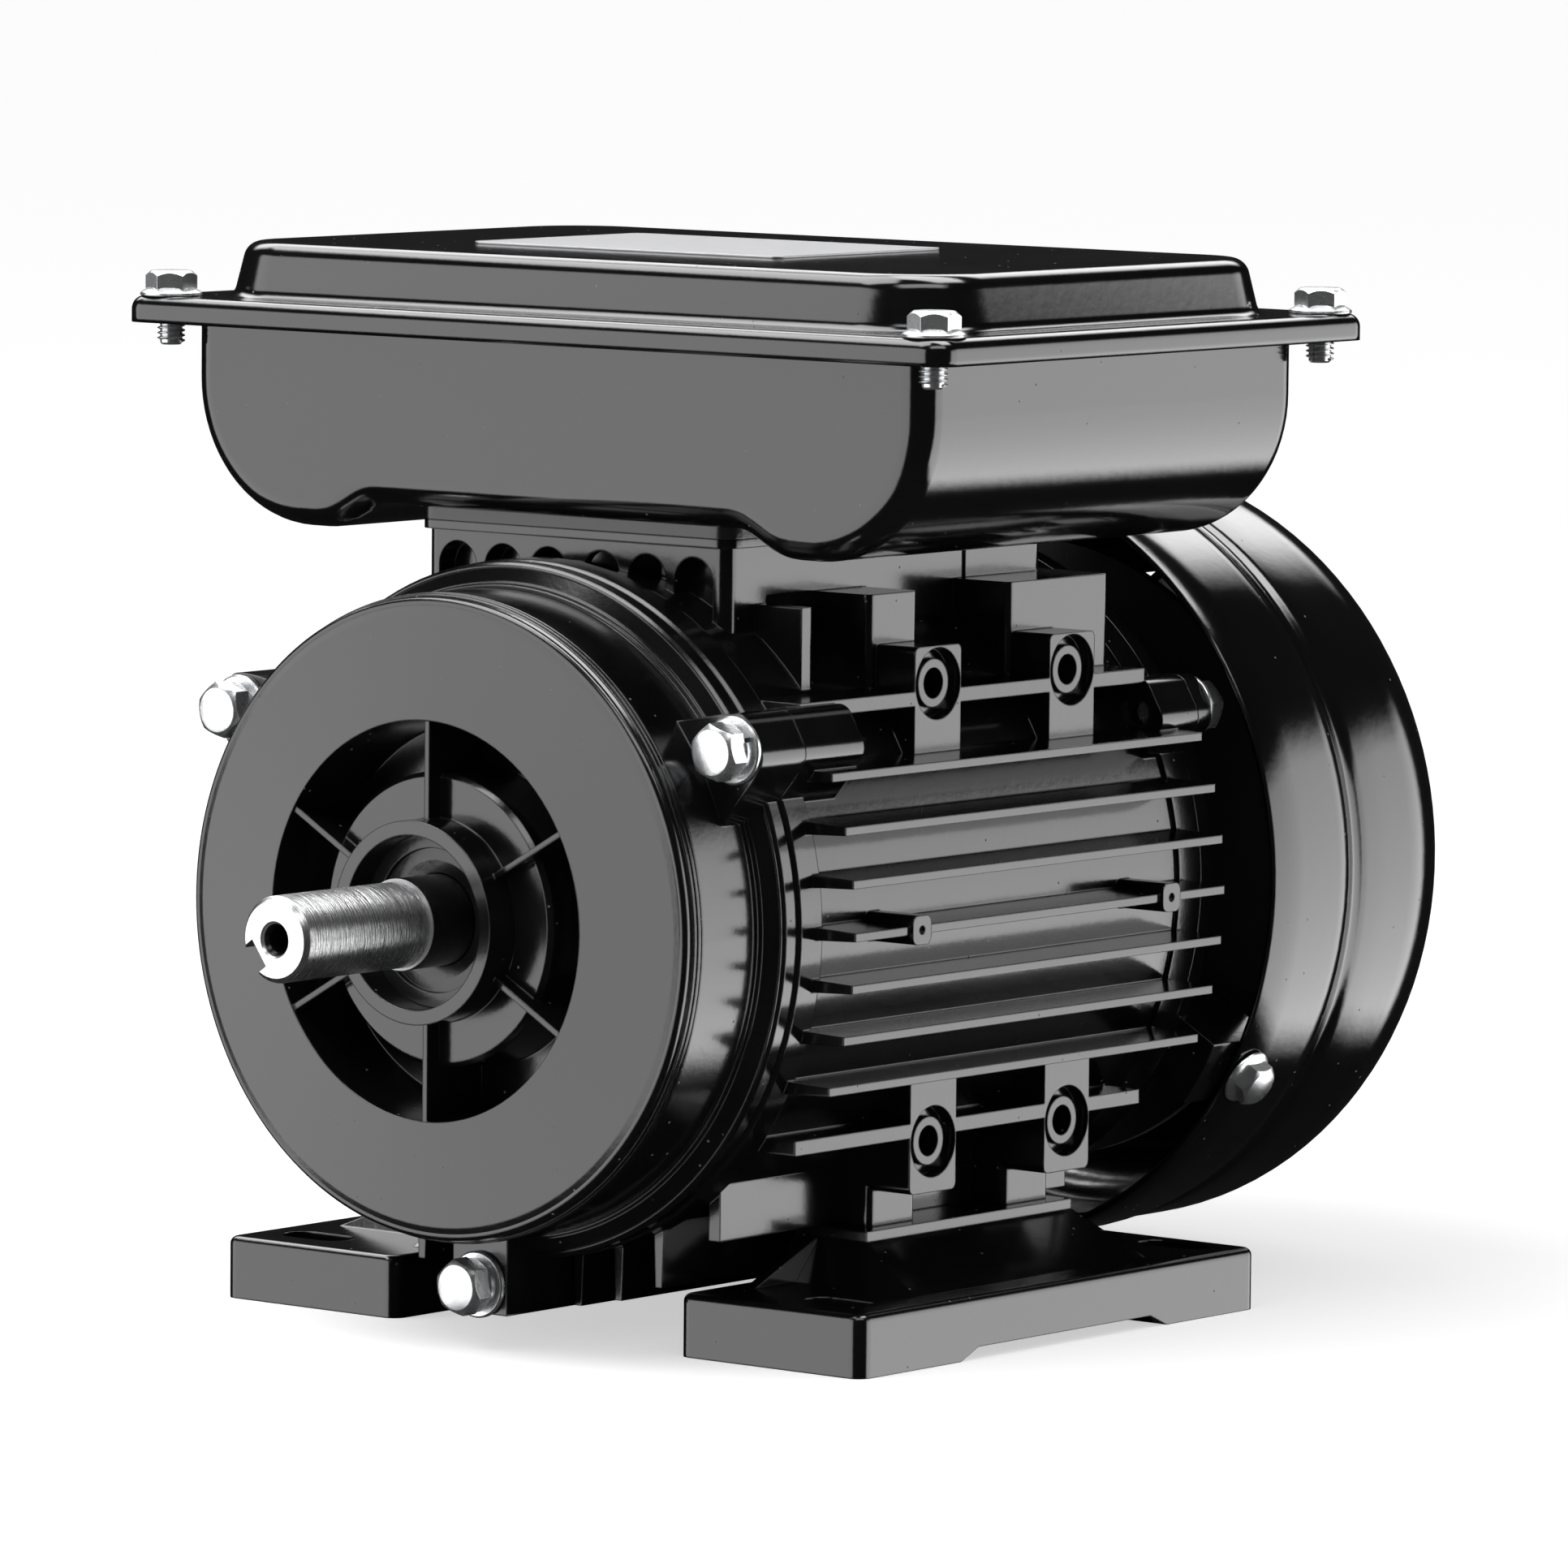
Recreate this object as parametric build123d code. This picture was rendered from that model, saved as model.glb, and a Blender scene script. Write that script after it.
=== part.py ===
from build123d import *
import os
from math import cos, radians, sin, sqrt

# A small foot-mounted single-phase motor. The shaft lies along Y and points to -Y, +Z is up,
# and the origin is the centre of the four foot holes, on the plane that the feet stand on.
# Pieces round the shaft are drawn with the shaft at z = 0 and lifted by lift().

# Clearances
SLIP = 0.02
THREAD_GAP = 0.1
SEAT_GAP = 0.3
HOLE_GAP = 0.25
CORE_FIT = 0.05

# Shaft
AXIS_HEIGHT = 71.0
SHAFT_END_DIA = 14.0
SHAFT_END_LENGTH = 30.0
SHOULDER_Y = -90.0
TIP_CHAMFER = 0.8
KEYWAY_WIDTH = 5.0
KEYWAY_DEPTH = 3.0
KEYWAY_LENGTH = 24.0
KEYWAY_ANGLE = 215.6
CENTRE_HOLE_DIA = 4.2
CENTRE_HOLE_DEPTH = 12.5
COUNTERSINK_DIA = 5.4
CORE_SEAT_DIA = 20.0
SWITCH_SEAT_DIA = 19.0
FAN_SEAT_DIA = 13.0
FAN_SEAT_END_Y = 103.0

# Bearings
BEARING_BORE = 15.0
BEARING_OD = 35.0
BEARING_WIDTH = 11.0
BALL_DIA = 6.0
BALLS = 7
RING_WALL = 2.6
FRONT_BEARING_Y = -77.0
REAR_BEARING_Y = 56.0
SEAL_WIDTH = 4.0
WAVE_WASHER_SPACE = 1.4
WAVE_WASHER_WALL = 0.4
WAVES = 3

# Stator and rotor
STACK_FRONT_Y = -34.0
STACK_LENGTH = 60.0
STATOR_BORE_DIA = 60.0
AIR_GAP = 0.3
STATOR_SLOTS = 24
SLOT_DEPTH = 11.0
SLOT_WIDTH = 4.4
SLOT_MOUTH = 1.8
OVERHANG = 16.5
OVERHANG_WALL = 17.0
ROTOR_BARS = 20
BAR_WIDTH = 3.0
BAR_DEPTH = 7.0
END_RING_WIDTH = 8.0
END_RING_WALL = 8.0
END_BLADE_WIDTH = 3.5
END_BLADES = 8

# Housing
HOUSING_FRONT_Y = -58.0
HOUSING_REAR_Y = 50.0
HOUSING_BORE_DIA = 106.0
HOUSING_WALL = 3.2
RIM_WIDTH = 5.9
RIM_STEP = 1.0
RIM_CHAMFER = 0.6
FIN_HEIGHT = 9.3
FIN_PITCH = 8.45
FINS_EACH_SIDE = 7
FIN_TIP_WIDTH = 1.4
FIN_ROOT_WIDTH = 2.4
FIN_FRONT_Y = -54.0
FIN_REAR_Y = 45.0
LEDGE_OFFSET = 35.4
LEDGE_REAR_Y = 40.0
PAD_REACH = 52.0
PAD_OFFSET = 37.6
PAD_HEIGHT = 12.2
PAD_INNER = 25.5
PAD_OUTER = 43.8
LOW_PAD_OUTER = 46.0
PAD_CORNER_RADIUS = 1.2
PAD_CENTRE_Y = 2.0
PAD_SPACING = 36.0
PAD_COUNTERBORE_DIA = 11.8
PAD_COUNTERBORE_DEPTH = 2.5
PAD_COLLAR_DIA = 8.0
PAD_COLLAR_DROP = 1.0
PAD_HOLE_DIA = 5.0
PAD_HOLE_DEPTH = 12.0
BOSS_SIZE = 4.8
BOSS_HOLE_DIA = 1.4
BOSS_FRONT_Y = -37.5
BOSS_REAR_Y = 29.5
UPPER_BLOCK_SPANS = ((-23.8, -11.0), (13.3, 40.7))

# Tie bolts of the two end shields
BOLT_ANGLES = (30.0, 150.0, 270.0)
FRONT_BOLT_OFFSET = 4.4
REAR_BOLT_OFFSET = 1.8
LUG_WIDTH = 11.5
LUG_REACH = 4.8
FRONT_LUG_LENGTH = 11.0
HOUSING_LUG_LENGTH = 15.0
REAR_LUG_LENGTH = 10.0
M5_DIA = 5.0
M5_FLATS = 8.0
M5_HEAD = 3.5
M5_WASHER_DIA = 10.2
M5_WASHER = 1.0
M5_SPRING_DIA = 9.0
M5_SPRING = 1.3
M5_GRIP = 10.0

# Front end shield
HUB_RADIUS = 16.6
HUB_BORE_RADIUS = 14.2
HUB_FRONT_Y = -86.6
BEARING_HUB_RADIUS = 24.0
BEARING_HUB_EDGE = 0.8
RECESS_RADIUS = 32.6
RECESS_FRONT_Y = -83.6
RECESS_FLOOR_Y = -69.5
NECK_INSET = 3.3
FACE_INSET = 2.9
FACE_OUTER_Y = -81.1
NECK_REAR_Y = -64.4
FLANGE_STEP = 0.7
FLANGE_FRONT_Y = -61.2
SHIELD_WALL = 3.2
RIB_WIDTH = 1.0
RIB_DROP = 0.5
RIBS = 6
SPIGOT_LENGTH = 4.0
SPIGOT_WALL = 2.4

# Rear end shield
REAR_FLANGE_WIDTH = 3.6
REAR_WEB_Y = 57.0
REAR_HUB_END_Y = 70.5
COVER_EAR_ANGLES = (-30.0, 90.0, 210.0)
COVER_EAR_WIDTH = 12.0

# Fan and fan cover
COVER_FRONT_Y = 57.5
COVER_REAR_Y = 121.0
COVER_RADIUS = 66.6
COVER_VALLEY_RADIUS = 65.4
COVER_VALLEY_Y = 81.0
COVER_BULGE_RADIUS = 65.9
COVER_CORNER_RADIUS = 23.5
COVER_WALL = 1.2
COVER_SCREW_Y = 61.8
GRILLE_RINGS = 4
GRILLE_SPOKES = 6
GRILLE_INNER_RADIUS = 14.0
GRILLE_PITCH = 9.0
GRILLE_GAP = 4.6
SPOKE_WIDTH = 4.0
FAN_FRONT_Y = 78.0
FAN_HUB_LENGTH = 21.0
FAN_HUB_DIA = 25.0
FAN_DIA = 112.0
FAN_DISC_DIA = 107.0
FAN_BLADES = 7
FAN_BLADE_WALL = 1.8
FAN_DISC_WALL = 1.8
CLIP_WALL = 1.0

# Starting switch
GOVERNOR_Y = 40.0
GOVERNOR_WALL = 1.2
GOVERNOR_RADIUS = 16.5
WEIGHT_PIVOT_RADIUS = 15.0
WEIGHT_PIVOT_Y = 43.2
WEIGHT_PIN_DIA = 2.0
WEIGHT_OUTER_RADIUS = 25.5
WEIGHT_INNER_RADIUS = 18.0
WEIGHT_REAR_Y = 50.0
WEIGHT_TONGUE = 8.0
COLLAR_FRONT_Y = 46.0
COLLAR_REAR_Y = 51.0
COLLAR_DIA = 27.0
SWITCH_BOARD_WALL = 1.6
SWITCH_BOARD_BORE_DIA = 31.0
SWITCH_BOARD_DIA = 66.0

# Feet
FOOT_HOLE_SPACING_X = 112.0
FOOT_HOLE_SPACING_Y = 90.0
FOOT_SLOT_WIDTH = 7.0
FOOT_SLOT_LENGTH = 13.5
FOOT_INNER_X = 30.2
FOOT_OUTER_X = 68.2
FOOT_FRONT_Y = -55.0
FOOT_REAR_Y = 52.0
FOOT_SLAB = 10.4
FOOT_CORNER_RADIUS = 2.5
FOOT_EDGE_RADIUS = 1.3
FOOT_RELIEF = 2.0
RELIEF_FRONT_Y = -24.2
RELIEF_REAR_Y = 22.3
RELIEF_SLOPE = 4.6
SADDLE_OUTER_X = 46.7
SADDLE_INNER_X = 31.6
SADDLE_LIP = 1.7
SADDLE_FRONT_Y = -26.5
SADDLE_REAR_Y = 28.5
RAMP_FOOT_X = 63.6
RAMP_FRONT_Y = -34.0
RAMP_REAR_Y = 29.5
GUSSET_WIDTH = 2.0
GUSSET_REACH = 13.0
M6_DIA = 6.0
M6_FLATS = 10.0
M6_HEAD = 4.0
M6_WASHER_DIA = 12.0
M6_WASHER = 1.4
FOOT_POCKET_DEPTH = 9.6

# Pedestal under the terminal box
PEDESTAL_HALF_WIDTH = 32.1
PEDESTAL_FRONT_Y = -46.3
PEDESTAL_REAR_Y = 38.0
PEDESTAL_RISE = 61.6
PEDESTAL_CORNER_RADIUS = 2.4
PEDESTAL_LIP = 1.5
PEDESTAL_OVERHANG = 1.2
FRONT_POCKET_XS = (5.6, 15.3, 25.1)
FRONT_POCKET_WIDTH = 8.0
FRONT_POCKET_DEPTH = 4.0
FRONT_POCKET_DROP = 1.8
SIDE_BAND = 8.2
SIDE_POCKET_FRONT_Y = -36.0
SIDE_POCKET_REAR_Y = -10.0
SIDE_POCKET_DEPTH = 5.0
SIDE_GROOVE_Y = 16.1
SIDE_GROOVE_WIDTH = 0.9
SIDE_RIB_Y = -38.0
SIDE_RIB_WIDTH = 2.4
SIDE_RIB_REACH = 42.0
SIDE_RIB_TOP = 50.7
LEAD_PASSAGE_WIDTH = 30.0
LEAD_PASSAGE_LENGTH = 9.0
LEAD_PASSAGE_Y = -40.0
BOX_GASKET = 2.2

# Terminal box and lid
SHEET = 1.2
BOX_HALF_WIDTH = 78.0
BOX_FRONT_Y = -53.5
BOX_REAR_Y = 47.0
BOX_CORNER_RADIUS = 4.5
LOBE_DROP = 4.4
LOBE_RADIUS = 24.0
LOBE_INNER_X = 47.0
LOBE_TOE_X = 39.0
LOBE_BEND = 13.0
TOE_BEND = 9.0
BOX_HEIGHT = 30.3
LID_BOLT_OUT_X = 2.9
LID_BOLT_OUT_Y = 1.6
LID_BOLT_MARGIN = 6.0
DOME_HEIGHT = 9.2
LID_SKIRT = 4.4
LID_CORNER_RADIUS = 4.5
LID_EDGE_RADIUS = 1.0
DOME_INSET = 2.7
DOME_CORNER_RADIUS = 10.0
DOME_TAPER = 17.0
DOME_EDGE_RADIUS = 2.4
LID_GASKET = 1.5
M4_DIA = 4.0
M4_FLATS = 7.0
M4_HEAD = 3.0
M4_FLANGE_DIA = 9.8
M4_FLANGE = 1.2
LID_BOLT_LENGTH = 7.8
PLATE_LENGTH = 66.0
PLATE_WIDTH = 44.0
PLATE_WALL = 0.4
PLATE_X = -8.0
PLATE_Y = -3.0

# Parts inside the terminal box
CAPACITOR_DIA = 35.0
RUN_CAPACITOR_LENGTH = 78.0
START_CAPACITOR_LENGTH = 70.0
CAPACITOR_X = 54.5
CAPACITOR_TERMINAL = 7.0
CLAMP_WALL = 1.0
CLAMP_WIDTH = 12.0
BLOCK_LENGTH = 54.0
BLOCK_WIDTH = 36.0
BLOCK_HEIGHT = 9.0
BLOCK_Y = -8.0
STUD_PITCH_X = 17.0
STUD_PITCH_Y = 18.0
STUD_LENGTH = 12.0
M4_NUT = 3.2
LINK_WALL = 0.8
LINK_WIDTH = 7.5
BOX_SCREW_X = 22.0
BOX_SCREW_FRONT_Y = -37.0
BOX_SCREW_REAR_Y = 31.0
EARTH_X = 10.0
EARTH_Y = 30.0

# Cable gland in the rear wall of the box
GLAND_RISE = 17.7
GLAND_THREAD_DIA = 16.0
GLAND_FLATS = 20.0
GLAND_HEX = 5.0
GLAND_BARREL = 8.0
GLAND_CAP_LENGTH = 11.0
GLAND_BORE_DIA = 8.0
GLAND_LOCKNUT = 4.0

# Derived places
BARREL_RADIUS = HOUSING_BORE_DIA / 2 + HOUSING_WALL
RIM_RADIUS = BARREL_RADIUS + RIM_STEP
FIN_TIP_RADIUS = BARREL_RADIUS + FIN_HEIGHT
FRONT_BOLT_RADIUS = BARREL_RADIUS + FRONT_BOLT_OFFSET
REAR_BOLT_RADIUS = BARREL_RADIUS + REAR_BOLT_OFFSET
NECK_RADIUS = BARREL_RADIUS - NECK_INSET
FACE_RADIUS = NECK_RADIUS - FACE_INSET
FLANGE_RADIUS = BARREL_RADIUS + FLANGE_STEP
STACK_REAR_Y = STACK_FRONT_Y + STACK_LENGTH
ROTOR_RADIUS = STATOR_BORE_DIA / 2 - AIR_GAP
BALL_PITCH_RADIUS = (BEARING_BORE + BEARING_OD) / 4
PEDESTAL_TOP = AXIS_HEIGHT + PEDESTAL_RISE
BOX_FLOOR = PEDESTAL_TOP + BOX_GASKET
BOX_FLANGE_TOP = BOX_FLOOR + BOX_HEIGHT
LID_FLANGE_Z = BOX_FLANGE_TOP + LID_GASKET + SHEET
LID_TOP_Z = LID_FLANGE_Z + DOME_HEIGHT
GLAND_Z = BOX_FLOOR + GLAND_RISE
LID_CENTRE_Y = (BOX_FRONT_Y + BOX_REAR_Y) / 2
LID_BOLT_X = BOX_HALF_WIDTH + LID_BOLT_OUT_X
LID_BOLT_HALF_Y = (BOX_REAR_Y - BOX_FRONT_Y) / 2 + LID_BOLT_OUT_Y
LID_HALF_X = LID_BOLT_X + LID_BOLT_MARGIN
LID_HALF_Y = LID_BOLT_HALF_Y + LID_BOLT_MARGIN
FRONT_LUG_Y = HOUSING_FRONT_Y - FRONT_LUG_LENGTH
PAD_YS = (PAD_CENTRE_Y - PAD_SPACING / 2, PAD_CENTRE_Y + PAD_SPACING / 2)
SADDLE_TOP = AXIS_HEIGHT - PAD_REACH
SPIN_AXIS = Axis((0, 0, 0), (0, 1, 0))


def lift(shape):
    """Raise a piece drawn about the shaft to its height above the feet."""
    return Pos(0, 0, AXIS_HEIGHT) * shape


def across(y, z=0.0):
    """Plane across the shaft at depth y; its local x is +X and its local y is +Z."""
    return Plane(origin=(0, y, z), x_dir=(1, 0, 0), z_dir=(0, -1, 0))


def bar(section, y0, y1):
    """Section drawn across the shaft, carried from y0 back to y1."""
    return extrude(across(y0) * section, amount=y1 - y0, dir=(0, 1, 0))


def turned(*corners):
    """Ring or disc turned about the shaft from its (radius, y) corners."""
    outline = Polyline(*[(radius, y, 0) for radius, y in corners], close=True)
    return revolve(make_face(outline), SPIN_AXIS)


def tube(outer, inner, y0, y1):
    """Plain ring about the shaft."""
    return turned((inner, y0), (outer, y0), (outer, y1), (inner, y1))


def at_angle(shape, angle):
    """Turn a piece about the shaft; the angle runs from +X towards +Z."""
    return Rot(0, -angle, 0) * shape


def around(shape, angles):
    """Copies of a piece at each angle about the shaft."""
    return [at_angle(shape, angle) for angle in angles]


def even_angles(count, first=0.0):
    """Evenly spaced angles of a full turn."""
    return [first + 360.0 * k / count for k in range(count)]


def fuse(pieces):
    """One solid made of several overlapping ones."""
    whole = pieces[0]
    return whole.fuse(*pieces[1:]) if len(pieces) > 1 else whole


def hexagon(flats):
    """Regular hexagon given by the distance across its flats."""
    return RegularPolygon(radius=flats / 2, side_count=6, major_radius=False)


def rod_z(radius, z0, z1):
    """Upright cylinder between two heights."""
    return Pos(0, 0, (z0 + z1) / 2) * Cylinder(radius, z1 - z0)


def hex_z(flats, z0, z1):
    """Upright hexagonal prism between two heights."""
    return extrude(Pos(0, 0, z0) * hexagon(flats), amount=z1 - z0)


def block(x0, x1, y0, y1, z0, z1):
    """Rectangular block between two corners."""
    place = Pos((x0 + x1) / 2, (y0 + y1) / 2, (z0 + z1) / 2)
    return place * Box(x1 - x0, y1 - y0, z1 - z0)


# Shaft and bearings

def make_shaft():
    end = SHAFT_END_DIA / 2
    seat = BEARING_BORE / 2 - SLIP
    core = CORE_SEAT_DIA / 2 - SLIP
    switch = SWITCH_SEAT_DIA / 2
    fan = FAN_SEAT_DIA / 2
    tip = SHOULDER_Y - SHAFT_END_LENGTH
    front_stop = FRONT_BEARING_Y + BEARING_WIDTH
    rear_end = REAR_BEARING_Y + BEARING_WIDTH + WAVE_WASHER_SPACE
    shaft = turned(
        (0, tip), (end - TIP_CHAMFER, tip), (end, tip + TIP_CHAMFER), (end, SHOULDER_Y),
        (seat, SHOULDER_Y), (seat, front_stop), (core, front_stop), (core, STACK_REAR_Y),
        (switch, STACK_REAR_Y), (switch, REAR_BEARING_Y), (seat, REAR_BEARING_Y),
        (seat, rear_end), (fan, rear_end), (fan, FAN_SEAT_END_Y - TIP_CHAMFER),
        (fan - TIP_CHAMFER, FAN_SEAT_END_Y), (0, FAN_SEAT_END_Y),
    )
    keyway = block(end - KEYWAY_DEPTH, end + 1, tip - 1, tip + KEYWAY_LENGTH,
                   -KEYWAY_WIDTH / 2, KEYWAY_WIDTH / 2)
    hole = turned(
        (0, tip - 1), (COUNTERSINK_DIA / 2 + 1, tip - 1), (CENTRE_HOLE_DIA / 2, tip + 1.2),
        (CENTRE_HOLE_DIA / 2, tip + CENTRE_HOLE_DEPTH), (0, tip + CENTRE_HOLE_DEPTH + 1.2),
    )
    clip_y = FAN_FRONT_Y + FAN_HUB_LENGTH + SLIP
    groove = tube(fan + 1, fan - 0.6, clip_y, clip_y + CLIP_WALL + 2 * SLIP)
    return lift(shaft - at_angle(keyway, KEYWAY_ANGLE) - hole - groove)


def make_bearing(y0):
    """Outer ring, inner ring, balls and cage of a ball bearing that starts at y0."""
    y1 = y0 + BEARING_WIDTH
    middle = (y0 + y1) / 2
    bore = BEARING_BORE / 2
    outside = BEARING_OD / 2 - SLIP
    groove = Torus(BALL_PITCH_RADIUS, BALL_DIA / 2 + THREAD_GAP)
    groove = Pos(0, middle, 0) * (Rot(90, 0, 0) * groove)
    outer = tube(outside, outside - RING_WALL, y0, y1) - groove
    inner = tube(bore + RING_WALL, bore, y0, y1) - groove
    ball = Pos(BALL_PITCH_RADIUS, middle, 0) * Sphere(BALL_DIA / 2)
    balls = around(ball, even_angles(BALLS))
    pocket = Pos(BALL_PITCH_RADIUS, middle, 0) * Rot(0, 90, 0) * Cylinder(BALL_DIA / 2 + THREAD_GAP, 6.0)
    cage = tube(BALL_PITCH_RADIUS + 1.2, BALL_PITCH_RADIUS - 1.2, middle - 1.6, middle + 4.0)
    for cut in around(pocket, even_angles(BALLS)):
        cage -= cut
    return lift(outer), lift(inner), [lift(ball) for ball in balls], lift(cage)


def make_shaft_seal():
    y1 = FRONT_BEARING_Y - SEAT_GAP
    y0 = y1 - SEAL_WIDTH
    outside = HUB_BORE_RADIUS - SLIP
    inside = BEARING_BORE / 2 + 0.08
    seal = turned(
        (outside, y0), (outside, y1), (inside + 2.6, y1), (inside, y1 - 1.2),
        (inside, y1 - 2.4), (inside + 2.2, y0 + 1.0), (outside - 2.4, y0 + 1.0), (outside - 2.4, y0),
    )
    return lift(seal)


def make_wave_washer():
    y0 = REAR_BEARING_Y + BEARING_WIDTH + SLIP
    middle = y0 + (WAVE_WASHER_SPACE - SLIP) / 2
    ring = tube(BEARING_OD / 2 - 0.5, BEARING_OD / 2 - 3.2, middle - WAVE_WASHER_WALL / 2,
                middle + WAVE_WASHER_WALL / 2)
    rise = (WAVE_WASHER_SPACE - SLIP - WAVE_WASHER_WALL) / 2
    crest = block(BEARING_OD / 2 - 2.9, BEARING_OD / 2 - 0.8, middle, middle + rise + WAVE_WASHER_WALL / 2,
                  -2.5, 2.5)
    trough = block(BEARING_OD / 2 - 2.9, BEARING_OD / 2 - 0.8, middle - rise - WAVE_WASHER_WALL / 2, middle,
                   -2.5, 2.5)
    waves = around(crest, even_angles(WAVES)) + around(trough, even_angles(WAVES, 180.0 / WAVES))
    return lift(fuse([ring] + waves))


# Stator and rotor

def make_stator_core():
    outside = HOUSING_BORE_DIA / 2 - CORE_FIT
    bore = STATOR_BORE_DIA / 2
    core = Circle(outside) - Circle(bore)
    slot = Pos(bore + 2.0 + SLOT_DEPTH / 2, 0) * RectangleRounded(SLOT_DEPTH, SLOT_WIDTH, 1.0)
    mouth = Pos(bore + 1.4, 0) * Rectangle(4.0, SLOT_MOUTH)
    for angle in even_angles(STATOR_SLOTS):
        core -= Rot(0, 0, angle) * (slot + mouth)
    return lift(bar(core, STACK_FRONT_Y, STACK_REAR_Y))


def make_windings():
    """End turns at both ends, joined by the coil sides that fill the slots."""
    inside = STATOR_BORE_DIA / 2 + 2.0 + SEAT_GAP
    front = STACK_FRONT_Y - SEAT_GAP
    rear = STACK_REAR_Y + SEAT_GAP
    side = Pos(inside + SLOT_DEPTH / 2 - SEAT_GAP, 0) * Rectangle(SLOT_DEPTH - 2 * SEAT_GAP,
                                                                 SLOT_WIDTH - 4 * SEAT_GAP)
    sides = Sketch() + [Rot(0, 0, angle) * side for angle in even_angles(STATOR_SLOTS)]
    bundle = bar(sides, front - 1, rear + 1)
    outside = inside + OVERHANG_WALL
    end_turns = []
    for start, away in ((front, -1), (rear, 1)):
        far = start + away * OVERHANG
        end_turns.append(turned(
            (inside, start), (outside - 3, start), (outside, start + away * 3), (outside, far - away * 4),
            (outside - 4, far), (inside + 4, far), (inside, far - away * 4),
        ))
    return lift(bundle.fuse(*end_turns))


def rotor_bar_section(grow=0.0):
    """Section of all the rotor bars."""
    radius = ROTOR_RADIUS - 1.2 - BAR_DEPTH / 2
    one = Pos(radius, 0) * Rectangle(BAR_DEPTH + grow, BAR_WIDTH + grow)
    return Sketch() + [Rot(0, 0, angle) * one for angle in even_angles(ROTOR_BARS)]


def make_rotor_core():
    core = Circle(ROTOR_RADIUS) - Circle(CORE_SEAT_DIA / 2)
    return lift(bar(core - rotor_bar_section(2 * SLIP), STACK_FRONT_Y, STACK_REAR_Y))


def make_rotor_cage():
    outside = ROTOR_RADIUS - 0.6
    inside = outside - END_RING_WALL
    pieces = [bar(rotor_bar_section(), STACK_FRONT_Y - 1, STACK_REAR_Y + 1)]
    for start, away in ((STACK_FRONT_Y, -1), (STACK_REAR_Y, 1)):
        far = start + away * END_RING_WIDTH
        pieces.append(tube(outside, inside, min(start, far), max(start, far)))
        tip = far + away * END_BLADE_WIDTH
        blade = block(inside + 1.5, outside - 1, min(far - away, tip), max(far - away, tip), -0.9, 0.9)
        pieces += around(blade, even_angles(END_BLADES))
    return lift(fuse(pieces))


# Housing

def lug_section(radius, width, square):
    """Section of one bolt lug that points to +X from the barrel."""
    reach = radius + LUG_REACH
    root = HOUSING_BORE_DIA / 2 - 2.0
    if square:
        return Pos((root + reach) / 2, 0) * Rectangle(reach - root, width)
    corners = [(root, -width * 0.85), (root, width * 0.85), (radius, width / 2 + 0.6),
               (reach, width / 2 - 1.6), (reach, -width / 2 + 1.6), (radius, -width / 2 - 0.6)]
    return fillet(make_face(Polyline(*corners, close=True)).vertices().group_by(Axis.X)[-1], 3.0)


def lugs(radius, y0, y1, hole_dia):
    """The three bolt lugs, the lowest one square, with their holes to be cut."""
    bodies = []
    holes = []
    for angle in BOLT_ANGLES:
        section = lug_section(radius, LUG_WIDTH, square=angle == 270.0)
        bodies.append(at_angle(bar(section, y0, y1), angle))
        hole = bar(Pos(radius, 0) * Circle(hole_dia / 2), y0 - 1, y1 + 1)
        holes.append(at_angle(hole, angle))
    return bodies, holes


def make_side_fins():
    """Fins of the +X side: flat plates whose tips lie on one circle."""
    fins = []
    half = FINS_EACH_SIDE // 2
    root = BARREL_RADIUS - 3.0
    for k in range(-half, half + 1):
        z = k * FIN_PITCH
        tip = sqrt(FIN_TIP_RADIUS ** 2 - z ** 2)
        start = sqrt(root ** 2 - z ** 2)
        corners = [(start, z - FIN_ROOT_WIDTH / 2), (tip, z - FIN_TIP_WIDTH / 2),
                   (tip, z + FIN_TIP_WIDTH / 2), (start, z + FIN_ROOT_WIDTH / 2)]
        fins.append(bar(make_face(Polyline(*corners, close=True)), FIN_FRONT_Y, FIN_REAR_Y))
    return fins


def make_ledges():
    """The two short fins that run through the pads of the +X side."""
    ledges = []
    for side in (-1, 1):
        z = side * LEDGE_OFFSET
        section = Pos((38.0 + PAD_REACH) / 2, z) * Rectangle(PAD_REACH - 38.0, FIN_ROOT_WIDTH)
        ledges.append(bar(section, HOUSING_FRONT_Y + RIM_WIDTH, LEDGE_REAR_Y))
    return ledges


def make_side_pads(low_outer):
    """The four foot pads of the +X side, and the holes to be cut in them."""
    pads = []
    holes = []
    for y in PAD_YS:
        for side, outer in ((-1, low_outer), (1, PAD_OUTER)):
            z0, z1 = sorted((side * PAD_INNER, side * outer))
            pad = block(34.0, PAD_REACH, y - PAD_HEIGHT / 2, y + PAD_HEIGHT / 2, z0, z1)
            pads.append(fillet(pad.edges().filter_by(Axis.X), PAD_CORNER_RADIUS))
            centre = Pos(PAD_REACH, y, side * PAD_OFFSET) * Rot(0, 90, 0)
            sink = rod_z(PAD_COUNTERBORE_DIA / 2, -PAD_COUNTERBORE_DEPTH, 1)
            collar = rod_z(PAD_COLLAR_DIA / 2, -PAD_COUNTERBORE_DEPTH - 1, -PAD_COLLAR_DROP)
            thread = rod_z(PAD_HOLE_DIA / 2, -PAD_HOLE_DEPTH, 1)
            holes.append(centre * ((sink - collar) + thread))
    return pads, holes


def make_upper_blocks():
    """Plain blocks beside the pedestal, on the +X side only."""
    blocks = []
    for y0, y1 in UPPER_BLOCK_SPANS:
        piece = block(PAD_INNER, PAD_OUTER, y0, y1, 34.0, PAD_REACH)
        blocks.append(fillet(piece.edges().filter_by(Axis.Z), PAD_CORNER_RADIUS))
    return blocks


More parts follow.
